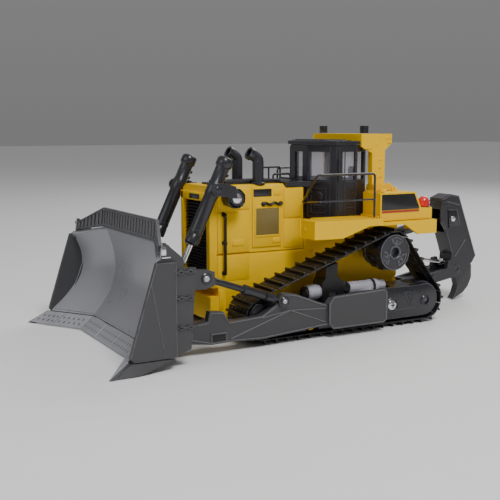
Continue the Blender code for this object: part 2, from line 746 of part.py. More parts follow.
def rops_frame():
    """Roll-over hoop: a deep top beam on two posts that stand on the tank."""
    outline = [
        (-24.2, 81.6), (-24.2, 87.3), (-41.6, 87.3), (-41.6, 83.0), (-37.8, 79.8), (-37.6, 61.3), (-30.6, 61.3), (-30.4, 78.6),
    ]
    hoop = plate("rops_frame", outline, -ROPS_Y, ROPS_Y)
    under = box("rops_under", (-60, -16.8, 50.0), (-10, 16.8, 83.3))
    roof_gap = box("rops_roof_gap", (-30.3, -18.8, 70.0), (-20, 18.8, 83.3))
    feet = []
    for tag, side in SIDES:
        low, high = sorted((side * 15.6, side * 21.2))
        feet.append(box("rops_foot_" + tag, (-41.5, low, 61.3), (-30.6, high, 64.0)))
    return join(cut(hoop, under, roof_gap), *feet)


def rops_light(tag, side):
    low, high = sorted((side * 14.9, side * 18.4))
    lamp = box("rops_light_" + tag, (-29.2, low, 87.6), (-26.9, high, 91.0))
    face = box("rops_lens_seat_" + tag, (-27.3, low + 0.4, 88.1), (-25.0, high - 0.4, 90.5))
    return cut(lamp, face)


def platform_handrail(tag, side):
    """Safety rail along the platform's edge: the left one slopes in to the hood, the right one is short."""
    outer = side * 34.0
    if side < 0:
        hoop = rounded_path([(-21.5, outer, 50.6), (-21.5, outer, 70.0), (-12.0, outer, 70.0), (-12.0, outer, 50.6)], 1.6)
        middle = tube("platform_handrail_bar_" + tag, [(-21.5, outer, 58.6), (-12.0, outer, 58.6)], 0.42)
        return join(tube("platform_handrail_" + tag, hoop, 0.55), middle)
    foot = (4.0, side * (HULL_Y + 1.0), 57.0)
    top = rounded_path([(-21.5, outer, 50.6), (-21.5, outer, 70.0), (9.0, outer, 70.0), foot], 1.6)
    rail = tube("platform_handrail_" + tag, top, 0.55)
    middle = rounded_path([(-21.5, outer, 58.6), (8.2, outer, 58.6), (3.6, side * (HULL_Y + 1.5), 56.9)], 1.0)
    bar = tube("platform_handrail_bar_" + tag, middle, 0.42)
    return join(rail, bar)


def tail_lamp(tag, side):
    radius = 2.8
    profile = [(0.0, 4.8)]
    for i in range(1, 7):
        a = math.pi / 2 * (1 - i / 6)
        profile.append((radius * math.cos(a), 2.0 + radius * math.sin(a)))
    profile += [(radius, 0.0), (0.0, 0.0)]
    return turned("tail_lamp_" + tag, profile, (-52.9, side * 30.2, 53.9), (0, 0, 1), steps=20)


# ------------------------------------------------------------------ blade and its linkage
def blade_front(y, t):
    """A point of the blade's curved front face: t runs from the top edge, 0, to the cutting-edge joint, 1."""
    share = max(0.0, abs(y) - BLADE_FOLD_Y) / (52.0 - BLADE_FOLD_Y)
    top = 45.3 + (40.9 - 45.3) * share
    low = 5.9 + (5.4 - 5.9) * share
    z = top + (low - top) * t
    deepest = 77.3 + (86.3 - 77.3) * share
    bend_up = 0.0165 + (0.033 - 0.0165) * share
    bend_down = 0.0205 + (0.0291 - 0.0205) * share
    bend = bend_up if z > 29.0 else bend_down
    return deepest + bend * (z - 29.0) ** 2, y, z


def moldboard():
    """The blade: a curved sheet with end plates, and behind it the lugs that the linkage pins to."""
    steps = 12
    rows = []
    for i in range(steps + 1):
        rows.append([blade_front(y, i / steps) for y in (-BLADE_END_Y, -BLADE_FOLD_Y, BLADE_FOLD_Y, BLADE_END_Y)])
    blade = sheet("moldboard", rows, BLADE_T, offset=1.0)
    parts = []
    for tag, side in SIDES:
        end = [(91.3, 40.9), (93.5, 33.8), (102.2, 6.2), (100.6, 4.6), (83.5, 4.6), (83.5, 40.9)]
        parts.append(plate("blade_end_" + tag, end, side * 50.4, side * 52.2))
        rear = [
            (84.5, 38.0), (74.6, 37.9), (76.9, 6.5), (83.5, 4.8), (95.0, 6.5), (88.5, 20.0), (85.2, 29.0), (86.8, 38.0),
        ]
        parts.append(plate("blade_rear_plate_" + tag, rear, side * 49.2, side * 50.8))
        gusset = [(90.0, 39.5), (88.9, 41.5), (88.0, 48.0), (87.0, 48.0), (79.8, 41.8), (79.4, 36.8), (86.5, 36.8)]
        parts.append(plate("blade_gusset_" + tag, gusset, side * 49.3, side * 50.6))
        brace_lug = [(62.6, 28.4), (62.4, 34.0), (66.0, 35.2), (83.0, 36.5), (82.0, 27.5), (66.0, 27.4)]
        parts.append(plate("brace_lug_" + tag, brace_lug, side * 40.6, side * 42.2))
        arm_lug = [(71.6, 6.4), (71.4, 11.0), (74.5, 12.6), (84.4, 13.4), (88.4, 7.6), (74.5, 5.0)]
        parts.append(plate("arm_lug_" + tag, arm_lug, side * 34.4, side * (ARM_IN - GAP)))
        for i, y in enumerate((LIFT_Y - 2.6, LIFT_Y + 1.4)):
            lug = [(68.9, 18.6), (68.9, 22.4), (71.0, 24.0), (77.0, 25.6), (80.2, 15.0), (71.0, 17.2)]
            parts.append(plate(f"lift_lug_{tag}{i}", lug, side * y, side * (y + 1.2)))
        parts.append(disc("lift_pin_" + tag, LIFT_EYE, side * (LIFT_Y - 2.2), side * (LIFT_Y + 2.2), 0.8, sides=12))
        parts.append(disc("arm_pin_" + tag, (74.2, 8.9), side * 35.0, side * 41.0, 1.3, sides=16))
        parts.append(disc("brace_pin_" + tag, (66.1, 31.5), side * 37.2, side * 41.6, 1.2, sides=16))
    return join(blade, *parts)


def cutting_edge():
    """Hardened edge below the moldboard: a flat centre and swept ends, reaching the ground."""
    joint = [(102.9, 52.0, 5.1), (88.6, BLADE_FOLD_Y, 5.5), (88.6, -BLADE_FOLD_Y, 5.5), (102.9, -52.0, 5.1)]
    heel = [(FRONT_X, TIP_Y, 0.0), (95.0, BLADE_FOLD_Y, 0.0), (95.0, -BLADE_FOLD_Y, 0.0), (FRONT_X, -TIP_Y, 0.0)]
    bm = bmesh.new()
    thick = 1.3
    front = [[bm.verts.new(vec(*p)) for p in joint], [bm.verts.new(vec(*p)) for p in heel]]
    back = [
        [bm.verts.new(vec(p[0] - 0.8, p[1], p[2] - thick)) for p in joint],
        [bm.verts.new(vec(p[0] - 2.6, p[1], 0.0)) for p in heel],
    ]
    for j in range(3):
        bm.faces.new((front[0][j], front[0][j + 1], front[1][j + 1], front[1][j]))
        bm.faces.new((back[0][j + 1], back[0][j], back[1][j], back[1][j + 1]))
        bm.faces.new((front[0][j + 1], front[0][j], back[0][j], back[0][j + 1]))
        bm.faces.new((front[1][j], front[1][j + 1], back[1][j + 1], back[1][j]))
    bm.faces.new((front[0][0], front[1][0], back[1][0], back[0][0]))
    bm.faces.new((front[1][3], front[0][3], back[0][3], back[1][3]))
    edge = mesh_object("cutting_edge", bm)
    skirts = []
    for tag, side in SIDES:
        skirt = bmesh.new()
        for x, y, z in ((101.8, 52.3, 4.2), (84.2, 52.2, 4.0), (84.4, 52.4, 3.2), (100.0, 54.5, 0.0), (110.8, 54.5, 0.0)):
            for inward in (0.0, 1.4):
                skirt.verts.new(vec(x, side * (y - inward), z))
        bmesh.ops.convex_hull(skirt, input=skirt.verts[:])
        skirts.append(mesh_object("edge_skirt_" + tag, skirt))
    return join(edge, *skirts)


def spill_guard():
    """Slotted guard along the blade's top edge, with falling ends."""
    wing_bars, centre_bars = 7, 19
    stations = []
    for i in range(2 * wing_bars + 1):
        stations.append(-GUARD_END_Y + (GUARD_END_Y - GUARD_FOLD_Y) * i / (2 * wing_bars))
    for i in range(1, 2 * centre_bars + 1):
        stations.append(-GUARD_FOLD_Y + 2 * GUARD_FOLD_Y * i / (2 * centre_bars))
    stations += [-y for y in reversed(stations[: 2 * wing_bars])]

    def rail(y, height):
        share = max(0.0, abs(y) - GUARD_FOLD_Y) / (GUARD_END_Y - GUARD_FOLD_Y)
        low = 45.9 + (43.1 - 45.9) * share
        high = 54.5 + (46.9 - 54.5) * share
        x = 81.6 + (87.9 - 81.6) * share
        return x - 0.8 * height, y, low + (high - low) * height

    rows = [[rail(y, h) for y in stations] for h in (0.0, 0.14, 0.88, 1.0)]
    return sheet("spill_guard", rows, 1.1, skip=lambda i, j: i == 1 and j % 2 == 1, offset=1.0)


def push_arm(tag, side):
    """Arm from the side frame's trunnion to the blade, with its guard plate over the trunnion."""
    nose = (74.2, 8.9)
    outline = [
        (-14.5, 6.0), (-14.5, 17.0), (4.6, 17.2), (7.0, 14.6), (22.8, 20.8), (29.6, 22.1), (33.0, 17.3), (39.7, 13.4),
        (55.0, 12.6), (57.3, 16.9), (63.5, 17.6), (64.5, 13.6), (69.0, 13.0),
    ]
    outline += arc(nose, 3.4, 80, -70, 6)
    outline += [(62.3, 4.0), (54.6, 4.3), (39.7, 3.5), (7.0, 5.9)]
    bores = [
        arc(ARM_PIVOT, 2.8, 0, 345, 23),
        arc(nose, 1.6, 0, 337.5, 15),
        arc((29.6, 18.7), 1.5, 0, 337.5, 15),
    ]
    arm = plate("push_arm_" + tag, outline, side * ARM_IN, side * ARM_OUT, holes=bores)
    guard = [(4.6, 4.0), (-22.6, 4.0), (-24.2, 5.4), (-24.2, 17.6), (-22.8, 19.3), (4.6, 18.3), (7.1, 15.4), (7.1, 6.6)]
    cover = plate("arm_guard_" + tag, guard, side * 39.4, side * 41.3)
    return join(arm, cover)


def tilt_brace(tag, side):
    """Strut from the arm up to the blade: a barrel, a thinner rod and a fork at each end."""
    y = 38.4
    low = (29.6, 18.7)
    high = (66.1, 31.5)
    length = math.dist(low, high)
    a = along(low, high, 3.6)
    b = along(low, high, 19.0)
    c = along(low, high, length - 2.1)
    body = rod("tilt_brace_" + tag, (a[0], side * y, a[1]), (b[0], side * y, b[1]), 1.5, sides=16)
    bar = rod("tilt_bar_" + tag, (b[0] - 0.5, side * y, b[1] - 0.2), (c[0], side * y, c[1]), 1.25, sides=16)
    eye = disc("tilt_eye_" + tag, high, side * 37.3, side * 39.9, 2.6, sides=20)
    eye_bore = disc("tilt_eye_bore_" + tag, high, side * 36.0, side * 42.0, 1.5, sides=16)
    foot = [along(low, high, 4.4)]
    cheek = disc("tilt_fork_" + tag, low, side * (ARM_OUT + GAP), side * 41.5, 2.7, sides=20)
    web = rod(
        "tilt_web_" + tag,
        (low[0] + 0.2, side * 40.9, low[1] + 0.1),
        (foot[0][0] + 1.4, side * 40.9, foot[0][1] + 0.5),
        0.6,
        sides=8,
    )
    block_far = along(low, high, 8.0)
    block = rod(
        "tilt_block_" + tag,
        (foot[0][0], side * 39.6, foot[0][1]),
        (block_far[0], side * 39.2, block_far[1]),
        1.9,
        sides=16,
    )
    pin = disc("tilt_pin_" + tag, low, side * 37.2, side * 40.8, 1.2, sides=16)
    return join(body, bar, cut(eye, eye_bore), cheek, web, block, pin)


def lift_direction():
    run = Vector((LIFT_EYE[0] - YOKE_PIVOT[0], 0, LIFT_EYE[1] - YOKE_PIVOT[1]))
    return run.normalized()


def lift_point(distance, side):
    """The point on a lift cylinder's axis at a distance below the trunnion."""
    down = lift_direction()
    return YOKE_PIVOT[0] + down.x * distance, side * LIFT_Y, YOKE_PIVOT[1] + down.z * distance


def lift_barrel(tag, side):
    """Cylinder barrel, open at its lower end, with a trunnion pin in the yoke's cheek."""
    up = -lift_direction()
    base = lift_point(25.2, side)
    profile = [
        (0.0, 39.6), (3.1, 39.6), (3.5, 39.0), (3.5, 35.4), (2.9, 34.8), (2.9, 28.4), (3.05, 27.8), (3.05, 22.6),
        (2.9, 22.0), (2.9, 3.4), (3.1, 3.0), (3.1, 0.0), (1.45, 0.0), (1.45, 33.0), (0.0, 33.0),
    ]
    barrel = turned("lift_barrel_" + tag, profile, base, tuple(up), steps=16)
    pin = disc("lift_trunnion_" + tag, YOKE_PIVOT, side * (LIFT_Y + 2.6), side * 22.2, 1.3, sides=16)
    return join(barrel, pin)


def lift_rod(tag, side):
    """Bright piston rod with a flat eye that turns on the blade's lift pin."""
    top = lift_point(9.5, side)
    length = math.dist(YOKE_PIVOT, LIFT_EYE)
    low = lift_point(length - 1.6, side)
    shaft = rod("lift_rod_" + tag, top, low, 1.15, sides=12)
    eye = disc("lift_eye_" + tag, LIFT_EYE, side * (LIFT_Y - 1.0), side * (LIFT_Y + 1.0), 2.2, sides=20)
    bore = disc("lift_eye_bore_" + tag, LIFT_EYE, side * (LIFT_Y - 3), side * (LIFT_Y + 3), 1.25, sides=16)
    return cut(join(shaft, eye), bore)


# ------------------------------------------------------------------ ripper
def ripper_arm():
    """Lower frame of the ripper: two side bars joined by a cross bar, pinned to the hull and the carriage."""
    run = Vector(RIP_LINK).normalized()
    lift = Vector((-run.y, run.x))
    if lift.y < 0:
        lift = -lift

    def at(distance, height):
        return (RIP_LOWER[0] + run.x * distance + lift.x * height, RIP_LOWER[1] + run.y * distance + lift.y * height)

    length = math.hypot(*RIP_LINK)
    outline = [at(0, 2.3), at(-2.1, 0.9), at(-2.1, -0.9), at(0, -2.3), at(length, -2.8), at(length + 2.6, -1.2)]
    outline += [at(length + 2.6, 1.2), at(length, 2.9), at(38.9, 3.0), at(38.2, 6.6), at(35.4, 6.6), at(34.0, 2.8)]
    hole = [
        [(RIP_LOWER[0] + x, RIP_LOWER[1] + z) for x, z in arc((0, 0), 1.45, 0, 337.5, 15)],
        [(RIP_ARM_PIN[0] + x, RIP_ARM_PIN[1] + z) for x, z in arc((0, 0), 1.45, 0, 337.5, 15)],
    ]
    left = plate("ripper_arm", outline, 4.9, 7.0, holes=hole)
    right = plate("ripper_arm_right", outline, -7.0, -4.9, holes=hole)
    a, b = at(9.0, -1.5), at(27.0, 1.5)
    cross = box("ripper_cross", (min(a[0], b[0]), -6.0, a[1] + 0.2), (max(a[0], b[0]), 6.0, b[1] - 1.8))
    pin = disc("ripper_cylinder_pin", RIP_CYL_EYE, -6.8, 6.8, 0.8, sides=12)
    return join(left, right, cross, pin)


def ripper_carriage():
    """Narrow box that carries the shank: two side plates, joined by a front and a rear wall."""
    outline = [
        (-87.0, 54.2), (-92.8, 56.3), (-98.7, 55.2), (-101.5, 48.3), (REAR_X, 23.2), (-109.5, 20.0), (-101.5, 12.4),
        (-96.0, 12.6), (-94.2, 16.5), (-94.9, 24.9), (-90.0, 38.1), (-87.4, 42.0),
    ]
    body = plate("ripper_carriage", outline, -4.6, 4.6)
    well = plate(
        "carriage_well",
        [(-94.0, 8.0), (-96.6, 24.0), (-93.6, 50.0), (-99.8, 50.0), (-106.6, 28.0), (-108.2, 8.0)],
        -2.5,
        2.5,
    )
    mouth = plate(
        "carriage_mouth",
        [(-80.0, 36.5), (-80.0, 48.6), (-97.4, 48.6), (-97.4, 39.0), (-94.0, 36.5)],
        -3.3,
        3.3,
    )
    pins = [
        disc("carriage_arm_pin", RIP_ARM_PIN, -6.8, 6.8, 1.1, sides=16),
        disc("carriage_top_pin", RIP_TOP_PIN, -4.0, 4.0, 0.9, sides=12),
    ]
    return join(cut(body, well, mouth), *pins)


def ripper_shank():
    """Curved tine held in the carriage, with its pointed tip just above the ground."""
    outline = [
        (-96.7, 48.6), (-99.3, 48.6), (-105.6, 28.6), (-106.8, 20.0), (-107.1, 17.6), (-109.6, 18.6), (-111.2, 18.0),
        (-111.4, 11.0), (-109.2, 6.5), (-106.1, 3.4), (-99.0, 0.3), (-101.0, 3.6), (-102.2, 7.5), (-100.4, 12.6),
        (-98.9, 20.0), (-98.3, 27.0),
    ]
    return plate("ripper_shank", outline, -2.1, 2.1)


def ripper_tilt_link():
    """Upper strut from the hull to the carriage, with an eye at each end."""
    def at(distance):
        point = along(RIP_UPPER, RIP_TOP_PIN, distance)
        return point[0], 0, point[1]

    length = math.hypot(*RIP_LINK)
    barrel = rod("ripper_tilt_link", at(2.0), at(27.0), 2.5, sides=20)
    bar = rod("tilt_link_bar", at(26.0), at(length - 1.6), 1.2, sides=16)
    eyes = []
    bores = []
    for i, centre in enumerate((RIP_UPPER, RIP_TOP_PIN)):
        eyes.append(disc(f"tilt_link_eye{i}", centre, -2.3, 2.3, 2.3, sides=20))
        bores.append(disc(f"tilt_link_bore{i}", centre, -4, 4, 1.3, sides=16))
    return cut(join(barrel, bar, *eyes), *bores)


def ripper_cylinder():
    """Lift cylinder of the ripper: the barrel turns on the hull, the rod's eye on the arm's cross bar."""
    def at(distance):
        point = along(RIP_CYL_BASE, RIP_CYL_EYE, distance)
        return point[0], 0, point[1]

    length = math.dist(RIP_CYL_BASE, RIP_CYL_EYE)
    barrel = rod("ripper_lift_barrel", at(1.0), at(22.0), 1.7, sides=16)
    eye = disc("ripper_barrel_eye", RIP_CYL_BASE, -1.6, 1.6, 1.7, sides=16)
    bore = disc("ripper_barrel_bore", RIP_CYL_BASE, -3, 3, 1.1, sides=12)
    well = rod("ripper_barrel_well", at(6.0), at(24.0), 1.15, sides=16)
    cut(join(barrel, eye), bore, well)
    shaft = rod("ripper_lift_rod", at(12.5), at(length - 1.4), 0.85, sides=16)
    end = disc("ripper_rod_eye", RIP_CYL_EYE, -1.4, 1.4, 1.9, sides=16)
    end_bore = disc("ripper_rod_bore", RIP_CYL_EYE, -3, 3, 1.1, sides=12)
    cut(join(shaft, end), end_bore)
    return barrel, shaft


# ------------------------------------------------------------------ assembly
def build_fixed(mats):
    keep(chassis_tub(), mats["yellow"])
    keep(hood_shell(), mats["yellow"])
    keep(radiator_grille(), mats["black"])
    keep(hood_top_deck(), mats["charcoal"])
    keep(hood_handrail(), mats["charcoal"])
    keep(cab_shell(), mats["charcoal"])
    keep(cab_roof(), mats["charcoal"])
    keep(cab_glazing(), mats["glass"])
    keep(operator_seat(), mats["black"])
    keep(fuel_tank(), mats["yellow"])
    keep(rops_frame(), mats["yellow"])
    for tag, side in SIDES:
        keep(exhaust_stack(tag, side), mats["charcoal"])
        keep(side_grab_handle(tag, side), mats["black"])
        keep(lift_yoke(tag, side), mats["charcoal"])
        keep(fender(tag, side), mats["yellow"])
        keep(rops_light(tag, side), mats["charcoal"])
        keep(platform_handrail(tag, side), mats["charcoal"])
        keep(tail_lamp(tag, side), mats["red"])
        keep(track_frame(tag, side), mats["charcoal"])
        keep(track_belt(tag, side), mats["black"])
        keep(recoil_tube(tag, side), mats["chrome"])
        keep(carrier_bracket(tag, side), mats["black"])


def build_wheels(mats):
    for tag, side in SIDES:
        hub = pivot_at("sprocket_axis_" + tag, SPROCKET[0], side * TRACK_MID, SPROCKET[1])
        keep(sprocket(tag, side), mats["charcoal"], hub)
        for name, centre in (("rear_idler_", REAR_IDLER), ("front_idler_", FRONT_IDLER)):
            hub = pivot_at(name + "axis_" + tag, centre[0], side * TRACK_MID, centre[1])
            keep(idler(name + tag, centre, side), mats["charcoal"], hub)
        for i, x in enumerate(ROLLERS_X):
            hub = pivot_at(f"track_roller_axis_{tag}{i + 1}", x, side * TRACK_MID, ROLLER_Z)
            keep(roller(f"track_roller_{tag}{i + 1}", x, side), mats["yellow"], hub)


def build_blade(mats):
    axis = pivot_at("blade_axis", ARM_PIVOT[0], 0, ARM_PIVOT[1])
    keep(moldboard(), mats["steel"], axis)
    keep(cutting_edge(), mats["steel"], axis)
    keep(spill_guard(), mats["gunmetal"], axis)
    for tag, side in SIDES:
        keep(push_arm(tag, side), mats["gunmetal"], axis)
        keep(tilt_brace(tag, side), mats["charcoal"], axis)
        trunnion = pivot_at("lift_axis_" + tag, YOKE_PIVOT[0], side * LIFT_Y, YOKE_PIVOT[1])
        keep(lift_barrel(tag, side), mats["charcoal"], trunnion)
        slide = pivot_at("lift_slide_" + tag, YOKE_PIVOT[0], side * LIFT_Y, YOKE_PIVOT[1], trunnion)
        keep(lift_rod(tag, side), mats["chrome"], slide)


def build_ripper(mats):
    lower = pivot_at("ripper_lower_axis", RIP_LOWER[0], 0, RIP_LOWER[1])
    keep(ripper_arm(), mats["charcoal"], lower)
    carriage = pivot_at("ripper_carriage_axis", RIP_ARM_PIN[0], 0, RIP_ARM_PIN[1], lower)
    keep(ripper_carriage(), mats["charcoal"], carriage)
    keep(ripper_shank(), mats["gunmetal"], carriage)
    upper = pivot_at("ripper_upper_axis", RIP_UPPER[0], 0, RIP_UPPER[1])
    keep(ripper_tilt_link(), mats["charcoal"], upper)
    base = pivot_at("ripper_cylinder_axis", RIP_CYL_BASE[0], 0, RIP_CYL_BASE[1])
    barrel, shaft = ripper_cylinder()
    keep(barrel, mats["charcoal"], base)
    keep(shaft, mats["chrome"], pivot_at("ripper_slide", RIP_CYL_BASE[0], 0, RIP_CYL_BASE[1], base))


def main():
    mats = {
        "yellow": material("yellow_paint", YELLOW, 0.35),
        "charcoal": material("charcoal_plastic", CHARCOAL, 0.45),
        "black": material("black_plastic", BLACK, 0.55),
        "gunmetal": material("gunmetal_paint", GUNMETAL, 0.45, 0.4),
        "steel": material("blade_steel", STEEL, 0.35, 0.8),
        "chrome": material("chrome", CHROME, 0.15, 1.0),
        "red": material("red_lens", RED, 0.25),
        "glass": material("cab_glass", GLASS, 0.1),
    }
    build_fixed(mats)
    build_wheels(mats)
    build_blade(mats)
    build_ripper(mats)


clear_scene()
toy = new_collection("toy_bulldozer")
cutters = new_collection("cutters")
main()
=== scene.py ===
"""Toy bulldozer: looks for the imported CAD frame. Sizes are in millimetres unless a name says otherwise."""

import math

import bmesh
import bpy
from mathutils import Matrix, Vector


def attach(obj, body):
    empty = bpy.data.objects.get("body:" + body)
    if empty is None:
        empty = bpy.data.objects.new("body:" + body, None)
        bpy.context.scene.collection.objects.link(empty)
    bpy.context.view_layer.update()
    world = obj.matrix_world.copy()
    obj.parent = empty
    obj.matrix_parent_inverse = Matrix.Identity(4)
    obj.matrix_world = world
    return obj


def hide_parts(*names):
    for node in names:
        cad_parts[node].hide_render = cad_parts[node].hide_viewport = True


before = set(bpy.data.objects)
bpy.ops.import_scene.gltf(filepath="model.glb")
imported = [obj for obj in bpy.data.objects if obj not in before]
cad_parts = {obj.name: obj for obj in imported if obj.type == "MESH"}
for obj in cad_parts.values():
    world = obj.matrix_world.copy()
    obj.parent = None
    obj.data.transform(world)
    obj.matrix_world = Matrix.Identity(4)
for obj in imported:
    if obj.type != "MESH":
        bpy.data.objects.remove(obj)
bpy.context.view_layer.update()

MM = 0.001
SIDES = (("l", 1), ("r", -1))
SPROCKET = (-32.4, 34.1)
REAR_IDLER = (-51.0, 10.9)
FRONT_IDLER = (35.6, 10.9)
YOKE_PIVOT = (50.35, 64.4)
LIFT_EYE = (71.46, 20.5)
LIFT_Y = 17.6
HOOD_FRONT = 49.8
YOKE_HUB = (41.0, 60.4)
HOOD_Y = 14.0  # hood side faces
FRAME_FACE = 35.0  # outer faces of the side frames
ARM_FACE = 40.0  # outer faces of the push arms
CAB_Y = 19.5  # cab side walls
FOLD_Y, WING = 28.0, 24.0  # where the blade folds, and how wide each wing is
EDGE_Y = 54.7  # ends of the cutting edge
PALE_Y = 50.3  # the blade's pale face ends inside the end plates


# ------------------------------------------------------------------ materials
def new_material(name):
    """A node material, with its nodes, links and Principled shader."""
    mat = bpy.data.materials.new(name)
    mat.use_nodes = True
    nodes = mat.node_tree.nodes
    return mat, nodes, mat.node_tree.links, nodes["Principled BSDF"]


def noise(nodes, links, scale, detail=4.0, rough=0.5):
    """Noise in metres of object space, so its grain has a real size."""
    coords = nodes.new("ShaderNodeTexCoord")
    tex = nodes.new("ShaderNodeTexNoise")
    put(tex, Scale=scale, Detail=detail, Roughness=rough)
    links.new(coords.outputs["Object"], tex.inputs["Vector"])
    return tex


def ramp(nodes, links, source, stops):
    """Colour ramp over a source, from (position, colour) stops."""
    node = nodes.new("ShaderNodeValToRGB")
    band = node.color_ramp
    band.elements[0].position, band.elements[0].color = stops[0]
    band.elements[1].position, band.elements[1].color = stops[-1]
    for place, color in stops[1:-1]:
        band.elements.new(place).color = color
    links.new(source, node.inputs["Fac"])
    return node


def calc(nodes, links, operation, *values):
    """Output of a math node over sockets and plain numbers."""
    node = nodes.new("ShaderNodeMath")
    node.operation = operation
    for slot, value in zip(node.inputs, values):
        if isinstance(value, float):
            slot.default_value = value
        else:
            links.new(value, slot)
    return node.outputs[0]


def put(node, **values):
    """Set inputs of a node, their names written with underscores."""
    for key, value in values.items():
        node.inputs[key.replace("_", " ")].default_value = value


def relief(nodes, links, shader, source, strength, distance):
    """Bump a shader's normal by a source; the distance is in metres."""
    bumps = nodes.new("ShaderNodeBump")
    put(bumps, Strength=strength, Distance=distance)
    links.new(source, bumps.inputs["Height"])
    links.new(bumps.outputs["Normal"], shader.inputs["Normal"])


def grey(value):
    return (value, value, value, 1.0)


def shade(color, factor):
    return (color[0] * factor, color[1] * factor, color[2] * factor, 1.0)


def edge_mask(nodes, links, width_mm, low=0.02, high=0.30):
    """Bright near convex edges: the bevelled normal leaves the true one there."""
    bevel = nodes.new("ShaderNodeBevel")
    bevel.samples = 4
    bevel.inputs["Radius"].default_value = width_mm * MM
    geometry = nodes.new("ShaderNodeNewGeometry")
    dot = nodes.new("ShaderNodeVectorMath")
    dot.operation = "DOT_PRODUCT"
    links.new(bevel.outputs["Normal"], dot.inputs[0])
    links.new(geometry.outputs["Normal"], dot.inputs[1])
    away = calc(nodes, links, "SUBTRACT", 1.0, dot.outputs["Value"])
    return ramp(nodes, links, away, [(low, grey(0.0)), (high, grey(1.0))])


def painted(name, color, roughness=0.38, metallic=0.0, grain=2200.0, bump=0.05, wear_and_highlight=None, coat=0.0,
        blotch=0.10, specular=0.5):
    """Moulded or enamelled surface: slight blotches, fine orange peel, and pale edges if asked, which are
    rubbed paint on some materials and a painted edge highlight on others.
    """
    mat, nodes, links, shader = new_material(name)
    put(shader, Metallic=metallic, Coat_Weight=coat, Specular_IOR_Level=specular, Coat_Roughness=0.15)
    cloud = noise(nodes, links, 45.0, 5.0, 0.6)
    tone = ramp(nodes, links, cloud.outputs["Fac"], [(0.3, shade(color, 1 - blotch)),
        (0.7, shade(color, 1 + blotch * 0.6))])
    base = tone.outputs["Color"]
    # Pale edges: a painted edge highlight on charcoal, wheel relief and guard grey, rubbed paint on the other
    # materials.
    if wear_and_highlight:
        mask = edge_mask(nodes, links, wear_and_highlight["width"])
        patchy = noise(nodes, links, 320.0, 6.0, 0.7)
        patches = ramp(nodes, links, patchy.outputs["Fac"], [(0.30, grey(0.0)), (0.52, grey(1.0))])
        both = calc(nodes, links, "MULTIPLY", mask.outputs["Color"], patches.outputs["Color"])
        level = calc(nodes, links, "MULTIPLY", both, wear_and_highlight.get("amount", 0.8))
        mix = nodes.new("ShaderNodeMix")
        mix.data_type = "RGBA"
        links.new(level, mix.inputs["Factor"])
        links.new(base, mix.inputs["A"])
        mix.inputs["B"].default_value = (*wear_and_highlight["color"], 1.0)
        base = mix.outputs["Result"]
    links.new(base, shader.inputs["Base Color"])
    fine = noise(nodes, links, grain, 2.0, 0.5)
    gloss = ramp(nodes, links, cloud.outputs["Fac"], [(0.25, grey(roughness - 0.06)),
        (0.75, grey(roughness + 0.07))])
    links.new(gloss.outputs["Color"], shader.inputs["Roughness"])
    relief(nodes, links, shader, fine.outputs["Fac"], bump, 0.0001)
    return mat


def metal(name, color, roughness=0.2, brush=(1.0, 1.0, 1.0), grain=900.0):
    """Bright plated metal with a faint drawn grain."""
    mat, nodes, links, shader = new_material(name)
    shader.inputs["Metallic"].default_value = 1.0
    coords = nodes.new("ShaderNodeTexCoord")
    mapping = nodes.new("ShaderNodeMapping")
    mapping.inputs["Scale"].default_value = brush
    links.new(coords.outputs["Object"], mapping.inputs["Vector"])
    tex = nodes.new("ShaderNodeTexNoise")
    put(tex, Scale=grain, Detail=3.0)
    links.new(mapping.outputs["Vector"], tex.inputs["Vector"])
    tone = ramp(nodes, links, tex.outputs["Fac"], [(0.3, shade(color, 0.86)), (0.7, shade(color, 1.0))])
    links.new(tone.outputs["Color"], shader.inputs["Base Color"])
    gloss = ramp(nodes, links, tex.outputs["Fac"], [(0.3, grey(roughness - 0.04)),
        (0.7, grey(roughness + 0.08))])
    links.new(gloss.outputs["Color"], shader.inputs["Roughness"])
    return mat


def blade_paint(name, front, back):
    """Pale satin on the face between the end plates that looks forward, and dark paint elsewhere."""
    mat = painted(name, front, 0.36, 0.15, bump=0.08, blotch=0.05)
    nodes, links = mat.node_tree.nodes, mat.node_tree.links
    shader = nodes["Principled BSDF"]
    pale = shader.inputs["Base Color"].links[0].from_socket
    geometry = nodes.new("ShaderNodeNewGeometry")
    split = nodes.new("ShaderNodeSeparateXYZ")
    links.new(geometry.outputs["Normal"], split.inputs["Vector"])
    coords = nodes.new("ShaderNodeTexCoord")
    place = nodes.new("ShaderNodeSeparateXYZ")
    links.new(coords.outputs["Object"], place.inputs["Vector"])
    forward = ramp(nodes, links, split.outputs["X"], [(0.15, grey(0.0)), (0.25, grey(1.0))])
    width = calc(nodes, links, "ABSOLUTE", place.outputs["Y"])
    inside = calc(nodes, links, "LESS_THAN", width, PALE_Y * MM)
    both = calc(nodes, links, "MULTIPLY", forward.outputs["Color"], inside)
    mix = nodes.new("ShaderNodeMix")
    mix.data_type = "RGBA"
    links.new(both, mix.inputs["Factor"])
    mix.inputs["A"].default_value = (*back, 1.0)
    links.new(pale, mix.inputs["B"])
    links.new(mix.outputs["Result"], shader.inputs["Base Color"])
    return mat


